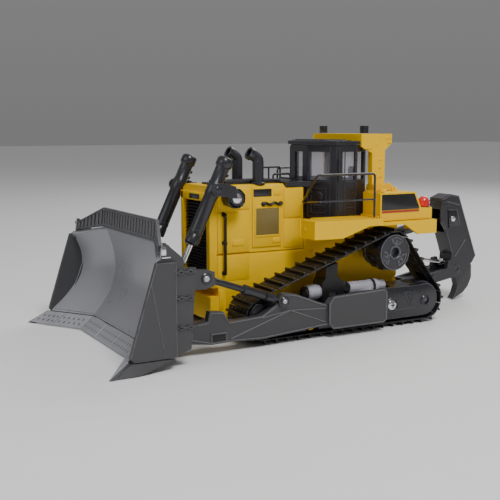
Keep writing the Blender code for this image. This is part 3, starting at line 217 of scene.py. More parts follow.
def mesh_screen(name, base, wire):
    """Woven wire screen: two crossed sets of waves as colour and relief."""
    mat, nodes, links, shader = new_material(name)
    coords = nodes.new("ShaderNodeTexCoord")
    mapping = nodes.new("ShaderNodeMapping")
    mapping.inputs["Rotation"].default_value = (0, math.radians(45), 0)
    links.new(coords.outputs["Object"], mapping.inputs["Vector"])
    waves = []
    for direction in ("X", "Z"):
        wave = nodes.new("ShaderNodeTexWave")
        wave.bands_direction = direction
        wave.inputs["Scale"].default_value = 480.0
        links.new(mapping.outputs["Vector"], wave.inputs["Vector"])
        waves.append(wave)
    both = calc(nodes, links, "MAXIMUM", *(wave.outputs["Fac"] for wave in waves))
    tone = ramp(nodes, links, both, [(0.45, (*base, 1.0)), (0.95, (*wire, 1.0))])
    links.new(tone.outputs["Color"], shader.inputs["Base Color"])
    shader.inputs["Roughness"].default_value = 0.45
    relief(nodes, links, shader, both, 0.8, 0.0002)
    return mat


def clear_plastic(name, color, alpha):
    """Thin tinted glazing."""
    mat, nodes, links, shader = new_material(name)
    cloud = noise(nodes, links, 60.0)
    tone = ramp(nodes, links, cloud.outputs["Fac"], [(0.3, shade(color, 0.94)), (0.7, shade(color, 1.0))])
    links.new(tone.outputs["Color"], shader.inputs["Base Color"])
    put(shader, Roughness=0.05, Specular_IOR_Level=0.3, Alpha=alpha)
    return mat


def red_lens(name):
    """Moulded red plastic with a polished skin."""
    mat, nodes, links, shader = new_material(name)
    cloud = noise(nodes, links, 300.0)
    tone = ramp(nodes, links, cloud.outputs["Fac"], [(0.3, (0.62, 0.006, 0.006, 1)),
        (0.7, (0.85, 0.02, 0.015, 1))])
    links.new(tone.outputs["Color"], shader.inputs["Base Color"])
    put(shader, Roughness=0.16, Coat_Weight=1.0, Coat_Roughness=0.05, Subsurface_Weight=0.15,
        Subsurface_Scale=0.002)
    return mat


YELLOW = (0.93, 0.56, 0.0)
# Painted light in these materials: the pale edges of charcoal, wheel relief and guard grey are painted edge
# highlights, and the wheel relief is painted lighter for glints. The line and bright greys colour strips that
# paint highlights along edges, the blade's folds and its top edge.
M = {"yellow": painted("yellow_enamel", YELLOW, 0.42, grain=1800.0, bump=0.04, blotch=0.05, specular=0.22),
    "charcoal": painted("charcoal_plastic", (0.018, 0.018, 0.023), 0.29, bump=0.08, wear_and_highlight={"width": 0.3,
    "color": (0.17, 0.17, 0.20)}, coat=0.25), "rubber": painted("track_black", (0.010, 0.010, 0.012), 0.46,
    bump=0.2, wear_and_highlight={"width": 0.3, "color": (0.09, 0.09, 0.10)}), "black": painted("black_plastic",
    (0.008, 0.008, 0.009), 0.42, bump=0.12), "gunmetal": painted("gunmetal", (0.062, 0.062, 0.066), 0.44,
    0.25, bump=0.12, wear_and_highlight={"width": 0.4, "color": (0.42, 0.42, 0.44), "amount": 0.55}, blotch=0.08),
    "blade": blade_paint("blade_grey", (0.34, 0.34, 0.365), (0.060, 0.060, 0.064)),
    "edge": painted("edge_grey", (0.36, 0.36, 0.39), 0.40, 0.2, bump=0.18, wear_and_highlight={"width": 0.3, "color": (0.8,
    0.8, 0.84), "amount": 0.8}, blotch=0.14), "skirt": blade_paint("edge_paint", (0.36, 0.36, 0.39),
    (0.060, 0.060, 0.064)), "bright": painted("fold_highlight_grey", (0.46, 0.47, 0.50), 0.35, 0.5, bump=0.05,
    blotch=0.12), "silver": metal("plated_silver", (0.80, 0.80, 0.85), 0.16), "rod": metal("plated_rod",
    (0.93, 0.93, 0.95), 0.12, (1.0, 1.0, 0.05)), "lilac": painted("satin_tube", (0.56, 0.55, 0.62), 0.26,
    0.35, bump=0.03, blotch=0.08), "relief": painted("relief_painted_glint", (0.095, 0.095, 0.110), 0.30, 0.3,
    bump=0.1, wear_and_highlight={"width": 0.35, "color": (0.42, 0.42, 0.46)}), "guard": painted("guard_grey_edge_highlight",
    (0.115, 0.115, 0.125), 0.42, 0.3, bump=0.12, wear_and_highlight={"width": 0.3, "color": (0.50, 0.50, 0.53),
    "amount": 0.7}), "liner": painted("liner_grey", (0.33, 0.33, 0.355), 0.30, 0.25, bump=0.06, blotch=0.05),
    "line": painted("edge_highlight_grey", (0.17, 0.17, 0.18), 0.40, 0.3, bump=0.06, blotch=0.12),
    "mesh": mesh_screen("bronze_mesh", (0.085, 0.060, 0.012), (0.30, 0.22, 0.05)),
    "red": red_lens("red_lens"), "glass": clear_plastic("cab_glass", (0.70, 0.69, 0.84), 0.12),
    "stripe": painted("stripe_red", (0.42, 0.035, 0.02), 0.4, bump=0.03), "label": painted("label_black",
    (0.012, 0.011, 0.012), 0.30, bump=0.02, coat=0.3)}


# ------------------------------------------------------------------ mesh helpers
def vec(x, y, z):
    return Vector((x * MM, y * MM, z * MM))


class Piece:
    """One mesh piece, put together from bevelled primitives in the frame of the toy."""

    def __init__(self, name, mat, body="machine", smooth=35.0):
        self.name = name
        self.mat = M[mat]
        self.body = body
        self.smooth = smooth
        self.bm = bmesh.new()

    def add(self, bm):
        """Join a finished primitive to the piece, and free it."""
        data = bpy.data.meshes.new("part")
        bm.to_mesh(data)
        bm.free()
        self.bm.from_mesh(data)
        bpy.data.meshes.remove(data)
        return self

    def box(self, low, high, bevel=0.25, turn=None, segments=2):
        bm = bmesh.new()
        bmesh.ops.create_cube(bm, size=1.0)
        size = Vector([abs(b - a) * MM for a, b in zip(low, high)])
        middle = Vector([(a + b) / 2 * MM for a, b in zip(low, high)])
        bmesh.ops.scale(bm, vec=size, verts=bm.verts)
        if bevel:
            width = min(bevel * MM, min(size) * 0.45)
            bmesh.ops.bevel(bm, geom=bm.edges[:], offset=width, segments=segments, profile=0.5,
                affect="EDGES")
        place = Matrix.Translation(middle)
        if turn is not None:
            place = place @ turn
        bmesh.ops.transform(bm, matrix=place, verts=bm.verts)
        return self.add(bm)

    def slab(self, side, x, y, z, bevel=0.25):
        """Box from its ranges; y counts outwards from the middle plane, to the left (1) or the right (-1)."""
        low, high = sorted((side * y[0], side * y[1]))
        return self.box((x[0], low, z[0]), (x[1], high, z[1]), bevel)

    def turned(self, profile, start, direction, steps=32):
        """Profile of (radius, height along the axis) turned round an axis."""
        bm = bmesh.new()
        rings = []
        for r, h in profile:
            ring = []
            if r < 1e-6:
                ring = [bm.verts.new((0, 0, h * MM))]
            else:
                for i in range(steps):
                    a = 2 * math.pi * i / steps
                    ring.append(bm.verts.new((r * MM * math.cos(a), r * MM * math.sin(a), h * MM)))
            rings.append(ring)
        for a, b in zip(rings, rings[1:]):
            if len(a) == 1 and len(b) == 1:
                continue
            for i in range(steps):
                k = (i + 1) % steps
                if len(a) == 1:
                    bm.faces.new((a[0], b[k], b[i]))
                elif len(b) == 1:
                    bm.faces.new((a[i], a[k], b[0]))
                else:
                    bm.faces.new((a[i], a[k], b[k], b[i]))
        bmesh.ops.recalc_face_normals(bm, faces=bm.faces)
        turn = Vector(direction).to_track_quat("Z", "Y").to_matrix().to_4x4()
        bmesh.ops.transform(bm, matrix=Matrix.Translation(vec(*start)) @ turn, verts=bm.verts)
        return self.add(bm)

    def bar(self, a, b, radius, end_radius=None, steps=20, chamfer=0.15):
        """Round bar between two points with softened ends."""
        length = (Vector(b) - Vector(a)).length
        second = radius if end_radius is None else end_radius
        c = min(chamfer, radius * 0.4, length * 0.3)
        profile = [(0, 0), (radius - c, 0), (radius, c), (second, length - c), (second - c, length),
            (0, length)]
        return self.turned(profile, a, Vector(b) - Vector(a), steps)

    def across(self, x, z, y0, y1, radius, steps=32, chamfer=0.2):
        return self.bar((x, y0, z), (x, y1, z), radius, steps=steps, chamfer=chamfer)

    def dome(self, centre, normal, radius, height, steps=28, rim=0.0):
        """Low rounded head standing on a surface."""
        profile = []
        if rim:
            profile += [(radius + rim, 0), (radius + rim, 0.35), (radius, 0.35)]
        else:
            profile.append((radius, 0))
        base = 0.35 if rim else 0.0
        for i in range(1, 8):
            a = math.pi / 2 * i / 7
            profile.append((max(radius * math.cos(a), 0.0) if i < 7 else 0.0, base + height * math.sin(a)))
        return self.turned(profile, centre, normal, steps)

    def prism(self, outline, y0, y1, bevel=0.0, plane="xz"):
        """Flat outline extruded across: xz along Y, yz along X, or xy along Z."""
        bm = bmesh.new()
        order = {"xz": lambda p, d: (p[0], d, p[1]), "yz": lambda p, d: (d, p[0], p[1]), "xy": lambda p,
            d: (*p, d)}
        low, high = min(y0, y1), max(y0, y1)
        place = order[plane]
        ring0 = [bm.verts.new(vec(*place(p, low))) for p in outline]
        ring1 = [bm.verts.new(vec(*place(p, high))) for p in outline]
        bm.faces.new(ring0)
        bm.faces.new(list(reversed(ring1)))
        count = len(outline)
        for i in range(count):
            k = (i + 1) % count
            bm.faces.new((ring0[i], ring1[i], ring1[k], ring0[k]))
        bmesh.ops.recalc_face_normals(bm, faces=bm.faces)
        if bevel:
            bm.normal_update()
            edges = [e for e in bm.edges if e.calc_face_angle(0) > math.radians(25)]
            bmesh.ops.bevel(bm, geom=edges, offset=bevel * MM, segments=2, profile=0.5, affect="EDGES",
                clamp_overlap=True)
        return self.add(bm)

    def strip(self, points, width, height, normal):
        """Raised rib along a chain of points on a surface with the given normal."""
        up = Vector(normal).normalized()
        path = [Vector(p) for p in points]
        bm = bmesh.new()
        rings = []
        for i, p in enumerate(path):
            before = path[max(i - 1, 0)]
            after = path[min(i + 1, len(path) - 1)]
            side = (after - before).normalized().cross(up).normalized() * width / 2
            top = up * height
            corners = (p + side, p + side * 0.7 + top, p - side * 0.7 + top, p - side)
            rings.append([bm.verts.new(c * MM) for c in corners])
        for a, b in zip(rings, rings[1:]):
            for j in range(3):
                bm.faces.new((a[j], a[j + 1], b[j + 1], b[j]))
            bm.faces.new((a[3], a[0], b[0], b[3]))
        bm.faces.new(rings[0])
        bm.faces.new(list(reversed(rings[-1])))
        bmesh.ops.recalc_face_normals(bm, faces=bm.faces)
        return self.add(bm)

    def pipe(self, points, radius, bend=1.2, steps=12):
        """Round rail along a chain of points with rounded corners."""
        path = bent(points, bend)
        bm = bmesh.new()
        rings = []
        side = None
        for i, p in enumerate(path):
            before = path[max(i - 1, 0)]
            after = path[min(i + 1, len(path) - 1)]
            run = (after - before).normalized()
            if side is None:
                side = run.orthogonal().normalized()
            side = (side - run * side.dot(run)).normalized()
            other = run.cross(side)
            ring = []
            for k in range(steps):
                a = 2 * math.pi * k / steps
                ring.append(bm.verts.new((p + (side * math.cos(a) + other * math.sin(a)) * radius) * MM))
            rings.append(ring)
        for a, b in zip(rings, rings[1:]):
            for k in range(steps):
                m = (k + 1) % steps
                bm.faces.new((a[k], a[m], b[m], b[k]))
        bm.faces.new(rings[0])
        bm.faces.new(list(reversed(rings[-1])))
        bmesh.ops.recalc_face_normals(bm, faces=bm.faces)
        return self.add(bm)

    def done(self, *replaced):
        """Make the object, give it to its body, and let it stand for the CAD nodes named."""
        data = bpy.data.meshes.new(self.name)
        self.bm.to_mesh(data)
        self.bm.free()
        data.materials.append(self.mat)
        obj = bpy.data.objects.new(self.name, data)
        bpy.context.scene.collection.objects.link(obj)
        data.shade_smooth()
        data.set_sharp_from_angle(angle=math.radians(self.smooth))
        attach(obj, self.body)
        if replaced:
            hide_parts(*replaced)
        return obj


def bent(points, radius, steps=5):
    """The chain of points with each inner corner turned into a bend."""
    path = [Vector(points[0])]
    for before, corner, after in zip(points, points[1:], points[2:]):
        corner = Vector(corner)
        reach = min(radius, (Vector(before) - corner).length * 0.49, (Vector(after) - corner).length * 0.49)
        into = (Vector(before) - corner).normalized() * reach
        out = (Vector(after) - corner).normalized() * reach
        for i in range(steps + 1):
            t = i / steps
            path.append(corner + into * (1 - t) ** 2 + out * t**2)
    path.append(Vector(points[-1]))
    return path


def arc(centre, radius, start, end, steps):
    points = []
    for i in range(steps + 1):
        a = math.radians(start + (end - start) * i / steps)
        points.append((centre[0] + radius * math.cos(a), centre[1] + radius * math.sin(a)))
    return points


# ------------------------------------------------------------------ CAD nodes keep their shape
def finish_nodes():
    """Every CAD node gets the material of its piece."""
    wanted = {"yellow": ["chassis_tub", "hood_shell", "fuel_tank", "rops_frame", "fender_l",
        "fender_r"] + [f"track_roller_{t}{i}" for t in "lr" for i in "12"], "charcoal": ["hood_top_deck",
        "cab_roof", "cab_shell", "ripper_arm", "ripper_carriage",
        "ripper_tilt_link"] + ["ripper_lift_barrel", "hood_handrail"] + [f"{n}_{t}" for t in "lr"
        for n in ("exhaust_stack", "lift_yoke", "platform_handrail", "rops_light", "track_frame", "sprocket",
        "rear_idler", "front_idler", "lift_barrel", "tilt_brace")], "black": ["radiator_grille",
        "operator_seat"] + [f"{n}_{t}" for t in "lr" for n in ("side_grab_handle", "carrier_bracket")],
        "rubber": ["track_belt_l", "track_belt_r"], "gunmetal": ["push_arm_l", "push_arm_r", "ripper_shank"],
        "guard": ["spill_guard"], "blade": ["moldboard"], "skirt": ["cutting_edge"],
        "lilac": ["recoil_tube_l", "recoil_tube_r"], "rod": ["lift_rod_l", "lift_rod_r", "ripper_lift_rod"],
        "red": ["tail_lamp_l", "tail_lamp_r"], "glass": ["cab_glazing"]}
    for key, names in wanted.items():
        for name in names:
            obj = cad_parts[name]
            for slot in obj.material_slots:
                slot.material = M[key]
            if not obj.material_slots:
                obj.data.materials.append(M[key])


finish_nodes()


# ------------------------------------------------------------------ camera, light, floor
def camera():
    """Camera at the front left, a little above the toy."""
    data = bpy.data.cameras.new("camera")
    data.lens = 61.95
    data.sensor_width = 36.0
    data.clip_start = 0.01
    data.clip_end = 20.0
    cam = bpy.data.objects.new("camera", data)
    bpy.context.scene.collection.objects.link(cam)
    cam.location = vec(213.45, 340.0, 90.0)
    aim = vec(22.91, 0.0, 34.7) - cam.location
    cam.rotation_mode = "QUATERNION"
    cam.rotation_quaternion = aim.to_track_quat("-Z", "Y")
    bpy.context.scene.camera = cam


def area_light(name, place, aim, size, power, color=(1, 1, 1)):
    data = bpy.data.lights.new(name, "AREA")
    data.shape = "RECTANGLE"
    data.size, data.size_y = size
    data.energy = power
    data.color = color
    lamp = bpy.data.objects.new(name, data)
    bpy.context.scene.collection.objects.link(lamp)
    lamp.location = place
    lamp.rotation_mode = "QUATERNION"
    lamp.rotation_quaternion = (Vector(aim) - Vector(place)).to_track_quat("-Z", "Y")
    return lamp


def studio():
    """Soft grey surroundings, three area lights and a pale floor."""
    world = bpy.data.worlds.new("studio")
    bpy.context.scene.world = world
    world.use_nodes = True
    nodes = world.node_tree.nodes
    links = world.node_tree.links
    back = nodes["Background"]
    coords = nodes.new("ShaderNodeTexCoord")
    split = nodes.new("ShaderNodeSeparateXYZ")
    links.new(coords.outputs["Generated"], split.inputs["Vector"])
    sky = ramp(nodes, links, split.outputs["Z"], [(0.0, grey(0.62)), (0.5, grey(0.9)), (1.0, grey(1.0))])
    links.new(sky.outputs["Color"], back.inputs["Color"])
    back.inputs["Strength"].default_value = 0.31
    area_light("key_light", (0.05, 0.55, 0.75), (0.0, 0.0, 0.03), (0.3, 0.3), 5.6)
    area_light("front_light", (0.75, 0.15, 0.45), (0.05, 0.0, 0.03), (0.6, 0.4), 1.0)
    area_light("rim_light", (-0.6, -0.35, 0.6), (0.0, 0.0, 0.05), (0.5, 0.4), 2.2)
    bm = bmesh.new()
    bmesh.ops.create_grid(bm, x_segments=1, y_segments=1, size=4.0)
    data = bpy.data.meshes.new("floor")
    bm.to_mesh(data)
    bm.free()
    floor = bpy.data.objects.new("floor", data)
    bpy.context.scene.collection.objects.link(floor)
    floor.location = (0, 0, -0.0002)
    data.materials.append(painted("floor_paper", (0.90, 0.90, 0.90), 0.8, bump=0.02, blotch=0.01,
        specular=0.2))


camera()
studio()


# ------------------------------------------------------------------ tracks
def belt_path(height):
    """Function from the running length to the point and direction of the chain, and its total length."""
    wheels = (FRONT_IDLER, SPROCKET, REAR_IDLER)
    extra = {SPROCKET: 0.3}
    angles = []
    for a, b in zip(wheels, wheels[1:] + wheels[:1]):
        angles.append(math.degrees(math.atan2(b[1] - a[1], b[0] - a[0])) - 90)
    parts = []
    total = 0.0
    for i, wheel in enumerate(wheels):
        start, end = angles[i - 1], angles[i]
        while end < start:
            end += 360
        more = extra.get(wheel, 0.0)
        length = math.radians(end - start) * (9.5 + more)
        parts.append((total, length, wheel, None, start, end, more, more))
        total += length
        after = wheels[(i + 1) % 3]
        run = math.dist(wheel, after)
        parts.append((total, run, wheel, after, end, end, more, extra.get(after, 0.0)))
        total += run

    def place(s):
        s = s % total
        for begin, length, wheel, after, start, end, e0, e1 in parts:
            if s <= begin + length + 1e-9:
                t = (s - begin) / length
                a = math.radians(start + (end - start) * t)
                out = Vector((math.cos(a), 0, math.sin(a)))
                base = Vector((wheel[0], 0, wheel[1]))
                if after:
                    base = base.lerp(Vector((after[0], 0, after[1])), t)
                return base + out * (height + e0 + (e1 - e0) * t), out
        raise ValueError("outside the chain")

    return place, total


def track(tag, side):
    """Chain of separate shoes with a grouser bar each, a bolt pair, and the links under them."""
    shoes = 44
    place, total = belt_path(9.0)
    pitch = total / shoes
    chain = Piece("track_shoes_" + tag, "rubber", smooth=30)
    for i in range(shoes):
        middle, out = place(i * pitch)
        run = Vector((-out.z, 0, out.x))
        turn = Matrix((run, Vector((0, 1, 0)), out)).transposed().to_4x4()

        def at(along, y, up):
            p = middle + run * along + out * up
            return p.x, side * y, p.z

        def block(l0, l1, y0, y1, u0, u1, bevel):
            centre = Vector(at((l0 + l1) / 2, (y0 + y1) / 2, (u0 + u1) / 2))
            half = Vector(((l1 - l0) / 2, (y1 - y0) / 2, (u1 - u0) / 2))
            chain.box(centre - half, centre + half, bevel, turn, 1)

        block(-pitch * 0.47, pitch * 0.47, 20.05, 35.95, -0.15, 0.45, 0.12)
        block(-0.5, 0.5, 20.05, 35.95, 0.3, 1.85, 0.16)
        block(-pitch * 0.36, pitch * 0.36, 24.2, 25.4, -0.5, 0.0, 0.1)
        block(-pitch * 0.36, pitch * 0.36, 30.6, 31.8, -0.5, 0.0, 0.1)
        for y in (23.2, 26.0, 30.0, 32.8):
            chain.turned([(0.55, 0.4), (0.5, 0.75), (0, 0.78)], at(1.55, y, 0), out, 8)
    return chain.done("track_belt_" + tag)


def wheels(tag, side):
    """Relief on the drive wheel: rim, lobes and bolts in a lighter grey with pale edges that paint glints,
    and the hub behind it.
    """
    out = (0, side, 0)
    face = side * 35.6
    x, z = SPROCKET
    body = "sprocket_" + tag
    trim = Piece("sprocket_relief_" + tag, "relief", body)
    trim.turned([(8.15, 0), (8.15, 0.3), (7.85, 0.4), (7.7, 0.1), (7.7, 0)], (x, face - side * 0.1, z), out,
        48)
    trim.turned([(3.1, 0), (3.1, 0.35), (2.8, 0.5), (2.5, 0.4), (2.35, 0.2), (2.35, -0.4)], (x, face, z),
        out, 32)
    for k in range(3):
        a = math.radians(100 + 120 * k)
        cx, cz = x + 5.2 * math.cos(a), z + 5.2 * math.sin(a)
        for j, (r, da) in enumerate(((5.2, -22), (5.2, 0), (5.2, 22))):
            b = a + math.radians(da)
            trim.dome((x + r * math.cos(b), face, z + r * math.sin(b)), out, 0.62 if j != 1 else 0.8, 0.35,
                12)
        trim.strip([(x + 3.2 * math.cos(a), face - side * 0.02, z + 3.2 * math.sin(a)),
            (cx, face - side * 0.02, cz)], 1.1, 0.3, out)
        lobe = [(x + r * math.cos(a + math.radians(da)), face - side * 0.02,
            z + r * math.sin(a + math.radians(da))) for r, da in ((6.6, -30), (6.9, 0), (6.6, 30), (4.4, 24),
            (4.4, -24), (6.6, -30))]
        trim.strip(lobe, 0.35, 0.3, out)
    trim.done()
    teeth = Piece("sprocket_housing_" + tag, "charcoal", body)
    for k in range(11):
        a = 2 * math.pi * (k + 0.5) / 11
        d = Vector((math.cos(a), 0, math.sin(a)))
        centre = Vector((x, side * 33.2, z)) + d * 7.7
        turn = Matrix((d, Vector((0, 1, 0)), Vector((-d.z, 0, d.x)))).transposed().to_4x4()
        teeth.box(centre - Vector((0.6, 0.9, 0.7)), centre + Vector((0.6, 0.9, 0.7)), 0.2, turn, 1)
    teeth.turned([(7.0, 0), (7.6, 0.6), (7.6, 2.0), (5.4, 3.2), (5.4, 6.5), (7.2, 7.4), (7.2, 8.6)],
        (x, side * 20.9, z), out, 40)
    teeth.done()
    for name, centre in (("rear_idler", REAR_IDLER), ("front_idler", FRONT_IDLER)):
        # Idler caps in the same grey, with painted glints.
        cap = Piece(f"{name}_cap_{tag}", "relief", f"{name}_{tag}")
        cap.dome((centre[0], side * 35.5, centre[1]), out, 1.25, 0.45, 20)
        cap.done()


def side_frame(tag, side):
    """Trim of the side frame: covers, seams, screw, triangle mark, clamps and the boss in front."""
    out = (0, side, 0)
    face = side * FRAME_FACE
    trim = Piece("side_frame_trim_" + tag, "charcoal")
    outline = [(-27.4, 4.2), (-27.4, 17.3), (-30.0, 17.7), (-47.0, 17.7)] + arc(REAR_IDLER, 6.9, 90, 268, 16)
    trim.prism(outline, face - side * 0.2, face + side * 0.35, 0.3)
    trim.turned([(3.6, 0), (3.6, 0.5), (3.3, 0.75), (2.9, 0.75), (2.75, 0.5), (2.75, 0.2)],
        (-31.6, face + side * 0.3, 9.9), out, 36)
    trim.strip([(-38.4, face + side * 0.3, 15.0), (-44.8, face + side * 0.3, 14.8),
        (-41.6, face + side * 0.3, 8.9), (-38.4, face + side * 0.3, 15.0)], 0.6, 0.35, out)
    trim.strip([(-41.6, face + side * 0.3, 13.3), (-41.6, face + side * 0.3, 11.2)], 0.7, 0.3, out)
    trim.turned([(2.6, 0), (2.6, 0.5), (2.1, 0.9), (1.75, 0.9)], (REAR_IDLER[0], face + side * 0.2, 10.4),
        out, 28)
    trim.strip([(-34.5, face + side * 0.33, 7.4), (-45.0, face + side * 0.33, 7.4)], 0.5, 0.2, out)
    front = [(26.5, 14.2)] + arc(FRONT_IDLER, 6.9, 62, -88, 14) + [(26.5, 4.2)]
    trim.prism(front, face - side * 0.2, face + side * 0.35, 0.3)
    trim.done()

    screw = Piece("frame_screw_" + tag, "silver")
    screw.dome((-31.6, face + side * 0.45, 9.9), out, 2.55, 0.75, 32)
    screw.done()
    # Black bars in the screw's cross slot: painted shade in the recess.
    cross = Piece("frame_screw_slot_shade_" + tag, "black")
    y = face + side * 1.15
    cross.box((-31.6 - 1.25, y - 0.12, 9.9 - 0.28), (-31.6 + 1.25, y + 0.12, 9.9 + 0.28), 0.08)
    cross.box((-31.6 - 0.28, y - 0.12, 9.9 - 1.25), (-31.6 + 0.28, y + 0.12, 9.9 + 1.25), 0.08)
    cross.done()

    clamps = Piece("recoil_clamps_" + tag, "black")
    axis = Vector((1, 0, 0))
    ry, rz = side * 29.4, 18.6
    for x0, x1, r in ((11.0, 13.0, 2.9), (-24.6, -22.8, 3.45)):
        clamps.turned([(2.0, 0), (r - 0.3, 0), (r, 0.3), (r, x1 - x0 - 0.3), (r - 0.3, x1 - x0),
            (1.6, x1 - x0)], (x0, ry, rz), axis, 28)
    clamps.turned([(0.8, 0), (2.5, 0), (2.7, 0.4), (2.0, 0.9), (1.2, 0.9), (1.0, 0.4), (0.9, 0)],
        (-8.0, side * 31.6, 19.6), (0, side, 0.25), 24)
    clamps.turned([(2.3, -1.2), (2.3, 0.3), (1.9, 0.6), (1.0, 0.6), (0.8, 0.2), (0, 0.2)],
        (-8.1, side * 32.1, 19.85), (0, side, 0.25), 24)
    clamps.done()
    shine = Piece("recoil_sleeve_" + tag, "lilac")
    shine.turned([(3.05, 0), (3.4, 0.2), (3.4, 4.6), (3.05, 4.8)], (6.0, ry, rz), axis, 32)
    shine.done()


for TAG, SIDE in SIDES:
    track(TAG, SIDE)
    wheels(TAG, SIDE)
    side_frame(TAG, SIDE)


# ------------------------------------------------------------------ hood and hull
def hood_front():
    """Frame, plain label and louvres round the radiator."""
    surround = Piece("radiator_surround", "yellow")
    x0, x1 = HOOD_FRONT - 0.05, 50.9
    for lo, hi in (((-14.0, 22.0), (-11.4, 62.4)), ((11.4, 22.0), (14.0, 62.4)), ((-14.0, 58.7),
            (14.0, 62.4))):
        surround.box((x0 - 0.4, lo[0], lo[1]), (x1, hi[0], hi[1]), 0.4)
    surround.box((x0 - 0.4, -14.0, 21.9), (x1, 14.0, 23.0), 0.3)
    surround.done()
    label = Piece("front_label", "label")
    label.box((x1 - 0.1, -5.0, 59.4), (x1 + 0.12, 5.0, 61.6), 0.1)
    label.done()
    slats = Piece("radiator_louvres", "black")
    tilt = Matrix.Rotation(math.radians(28), 4, "Y")
    z = 24.2
    while z < 58.0:
        slats.box((48.0, -11.1, z - 0.18), (50.0, 11.1, z + 0.18), 0.12, tilt, 1)
        z += 1.45
    for y in (-7.4, -3.7, 0.0, 3.7, 7.4):
        slats.box((48.1, y - 0.22, 23.2), (48.6, y + 0.22, 58.4), 0.1, None, 1)
    slats.done()


def hood_side(tag, side):
    """Seams, panels, mesh screen, label, pads and handles of one hood side."""
    out = (0, side, 0)
    y = side * HOOD_Y
    panel = Piece("hood_panels_" + tag, "yellow", smooth=30)

    def plate_(x0, x1, z0, z1, t=0.45, bevel=0.3):
        panel.slab(side, (x0, x1), (HOOD_Y - 0.1, HOOD_Y + t), (z0, z1), bevel)

    plate_(31.2, 46.9, 55.2, 63.0)
    plate_(31.2, 46.9, 36.4, 53.9)
    plate_(31.2, 46.9, 24.2, 35.4)
    plate_(15.0, 29.8, 38.0, 64.6, 0.6)
    plate_(4.0, 13.6, 50.4, 63.4)
    plate_(4.0, 13.6, 37.0, 49.6, 0.35)
    plate_(47.3, 50.8, 22.2, 62.4, 0.35)
    plate_(44.0, 46.0, 12.0, 20.4, 0.4)
    plate_(-2.0, 42.6, 12.4, 35.0, 0.25)
    plate_(34.0, 39.8, 39.2, 42.0, 0.75, 0.35)
    for x0, x1, z0, z1 in ((15.3, 19.2, 60.6, 63.4), (15.6, 19.6, 39.4, 41.8)):
        panel.slab(side, (x0, x1), (HOOD_Y, HOOD_Y + 0.95), (z0, z1), 0.9)
    panel.done()

    screen = Piece("mesh_screen_" + tag, "mesh")
    screen.slab(side, (16.4, 28.2), (HOOD_Y, HOOD_Y + 0.75), (43.2, 55.2), 0.12)
    screen.done()
    rim = Piece("screen_rim_" + tag, "yellow")
    for a, b in (((16.0, 42.6), (28.6, 43.3)), ((16.0, 55.1), (28.6, 55.7)), ((15.9, 42.6), (16.5, 55.7)),
            ((28.1, 42.6), (28.7, 55.7))):
        rim.slab(side, (a[0], b[0]), (HOOD_Y, HOOD_Y + 0.95), (a[1], b[1]), 0.2)
    rim.done()

    label = Piece("side_label_" + tag, "label")
    label.slab(side, (20.2, 29.4), (HOOD_Y, HOOD_Y + 0.72), (60.2, 63.6), 0.15)
    label.done()
    handle = Piece("panel_handle_" + tag, "black")
    h = y + side * 1.15
    wave = []
    for i in range(25):
        t = i / 24
        wave.append((24.8 - 9.4 * t, h, 57.0 + 0.4 * math.sin(t * math.pi * 4)))
    handle.pipe(wave, 0.6, 0.2, 10)
    for x in (24.6, 15.6):
        handle.bar((x, y, 57.0), (x, h + side * 0.3, 57.0), 0.95, steps=14)
    handle.done()

    grab = Piece("grab_rail_" + tag, "black")
    g = side * 16.2
    grab.pipe([(44.0, y, 53.4), (44.0, g, 53.0), (44.0, g, 28.0), (44.0, y, 27.6)], 0.62, 1.2, 14)
    for z in (53.2, 41.0, 27.8):
        grab.turned([(1.15, 0), (1.15, 0.35), (0.75, 0.6), (0.7, 2.1)], (44.0, y, z), out, 16)
    grab.dome((44.0, g + side * 0.35, 41.0), out, 0.8, 0.4, 14)
    grab.done("side_grab_handle_" + tag)


def hood_top():
    """Tread bars on the hood, exhaust feet, and a rolled collar on each exhaust mouth."""
    trim = Piece("hood_top_trim", "charcoal")
    for i in range(17):
        x = 13.4 + i * 1.6
        trim.box((x, -5.6, 66.85), (x + 0.7, 5.6, 67.1), 0.1, None, 1)
    for tag, side in SIDES:
        trim.turned([(3.1, 0), (3.1, 0.6), (2.7, 0.9), (2.2, 0.9)], (24.3, side * 9.7, 65.45), (0, 0, 1), 28)
    trim.box((40.9, -4.0, 65.3), (45.4, 4.0, 66.3), 0.35)
    trim.done()
    for tag, side in SIDES:
        collar = Piece("exhaust_collar_" + tag, "charcoal")
        a = Vector((26.2, side * 9.7, 77.75))
        d = Vector((4.7, 0, 2.4)).normalized()
        collar.turned([(2.0, -0.6), (2.0, 3.2), (2.4, 3.45), (2.85, 3.2), (2.85, 1.6), (2.55, 1.3)], a, d, 28)
        collar.done()


def yoke(tag, side):
    """Bright dome in an eight-sided housing, on the lift bracket."""
    out = (0, side, 0)
    cap = Piece("yoke_dome_" + tag, "silver")
    cap.dome((YOKE_HUB[0], side * 21.2, YOKE_HUB[1]), out, 2.35, 0.9, 32)
    cap.done()
    trim = Piece("yoke_trim_" + tag, "charcoal", smooth=25)
    ring = [(YOKE_HUB[0] + x, YOKE_HUB[1] + z) for x, z in arc((0, 0), 4.5, 22.5, 337.5, 7)]
    trim.prism(ring, side * 18.9, side * 21.0, 0.35)
    trim.turned([(3.1, 0), (3.1, 0.35), (2.6, 0.35), (2.45, 0.1)], (YOKE_HUB[0], side * 21.0, YOKE_HUB[1]),
        out, 32)
    trim.dome((YOKE_PIVOT[0], side * 22.3, YOKE_PIVOT[1]), out, 1.6, 0.5, 20)
    trim.done()


hood_front()
hood_top()
for TAG, SIDE in SIDES:
    hood_side(TAG, SIDE)
    yoke(TAG, SIDE)


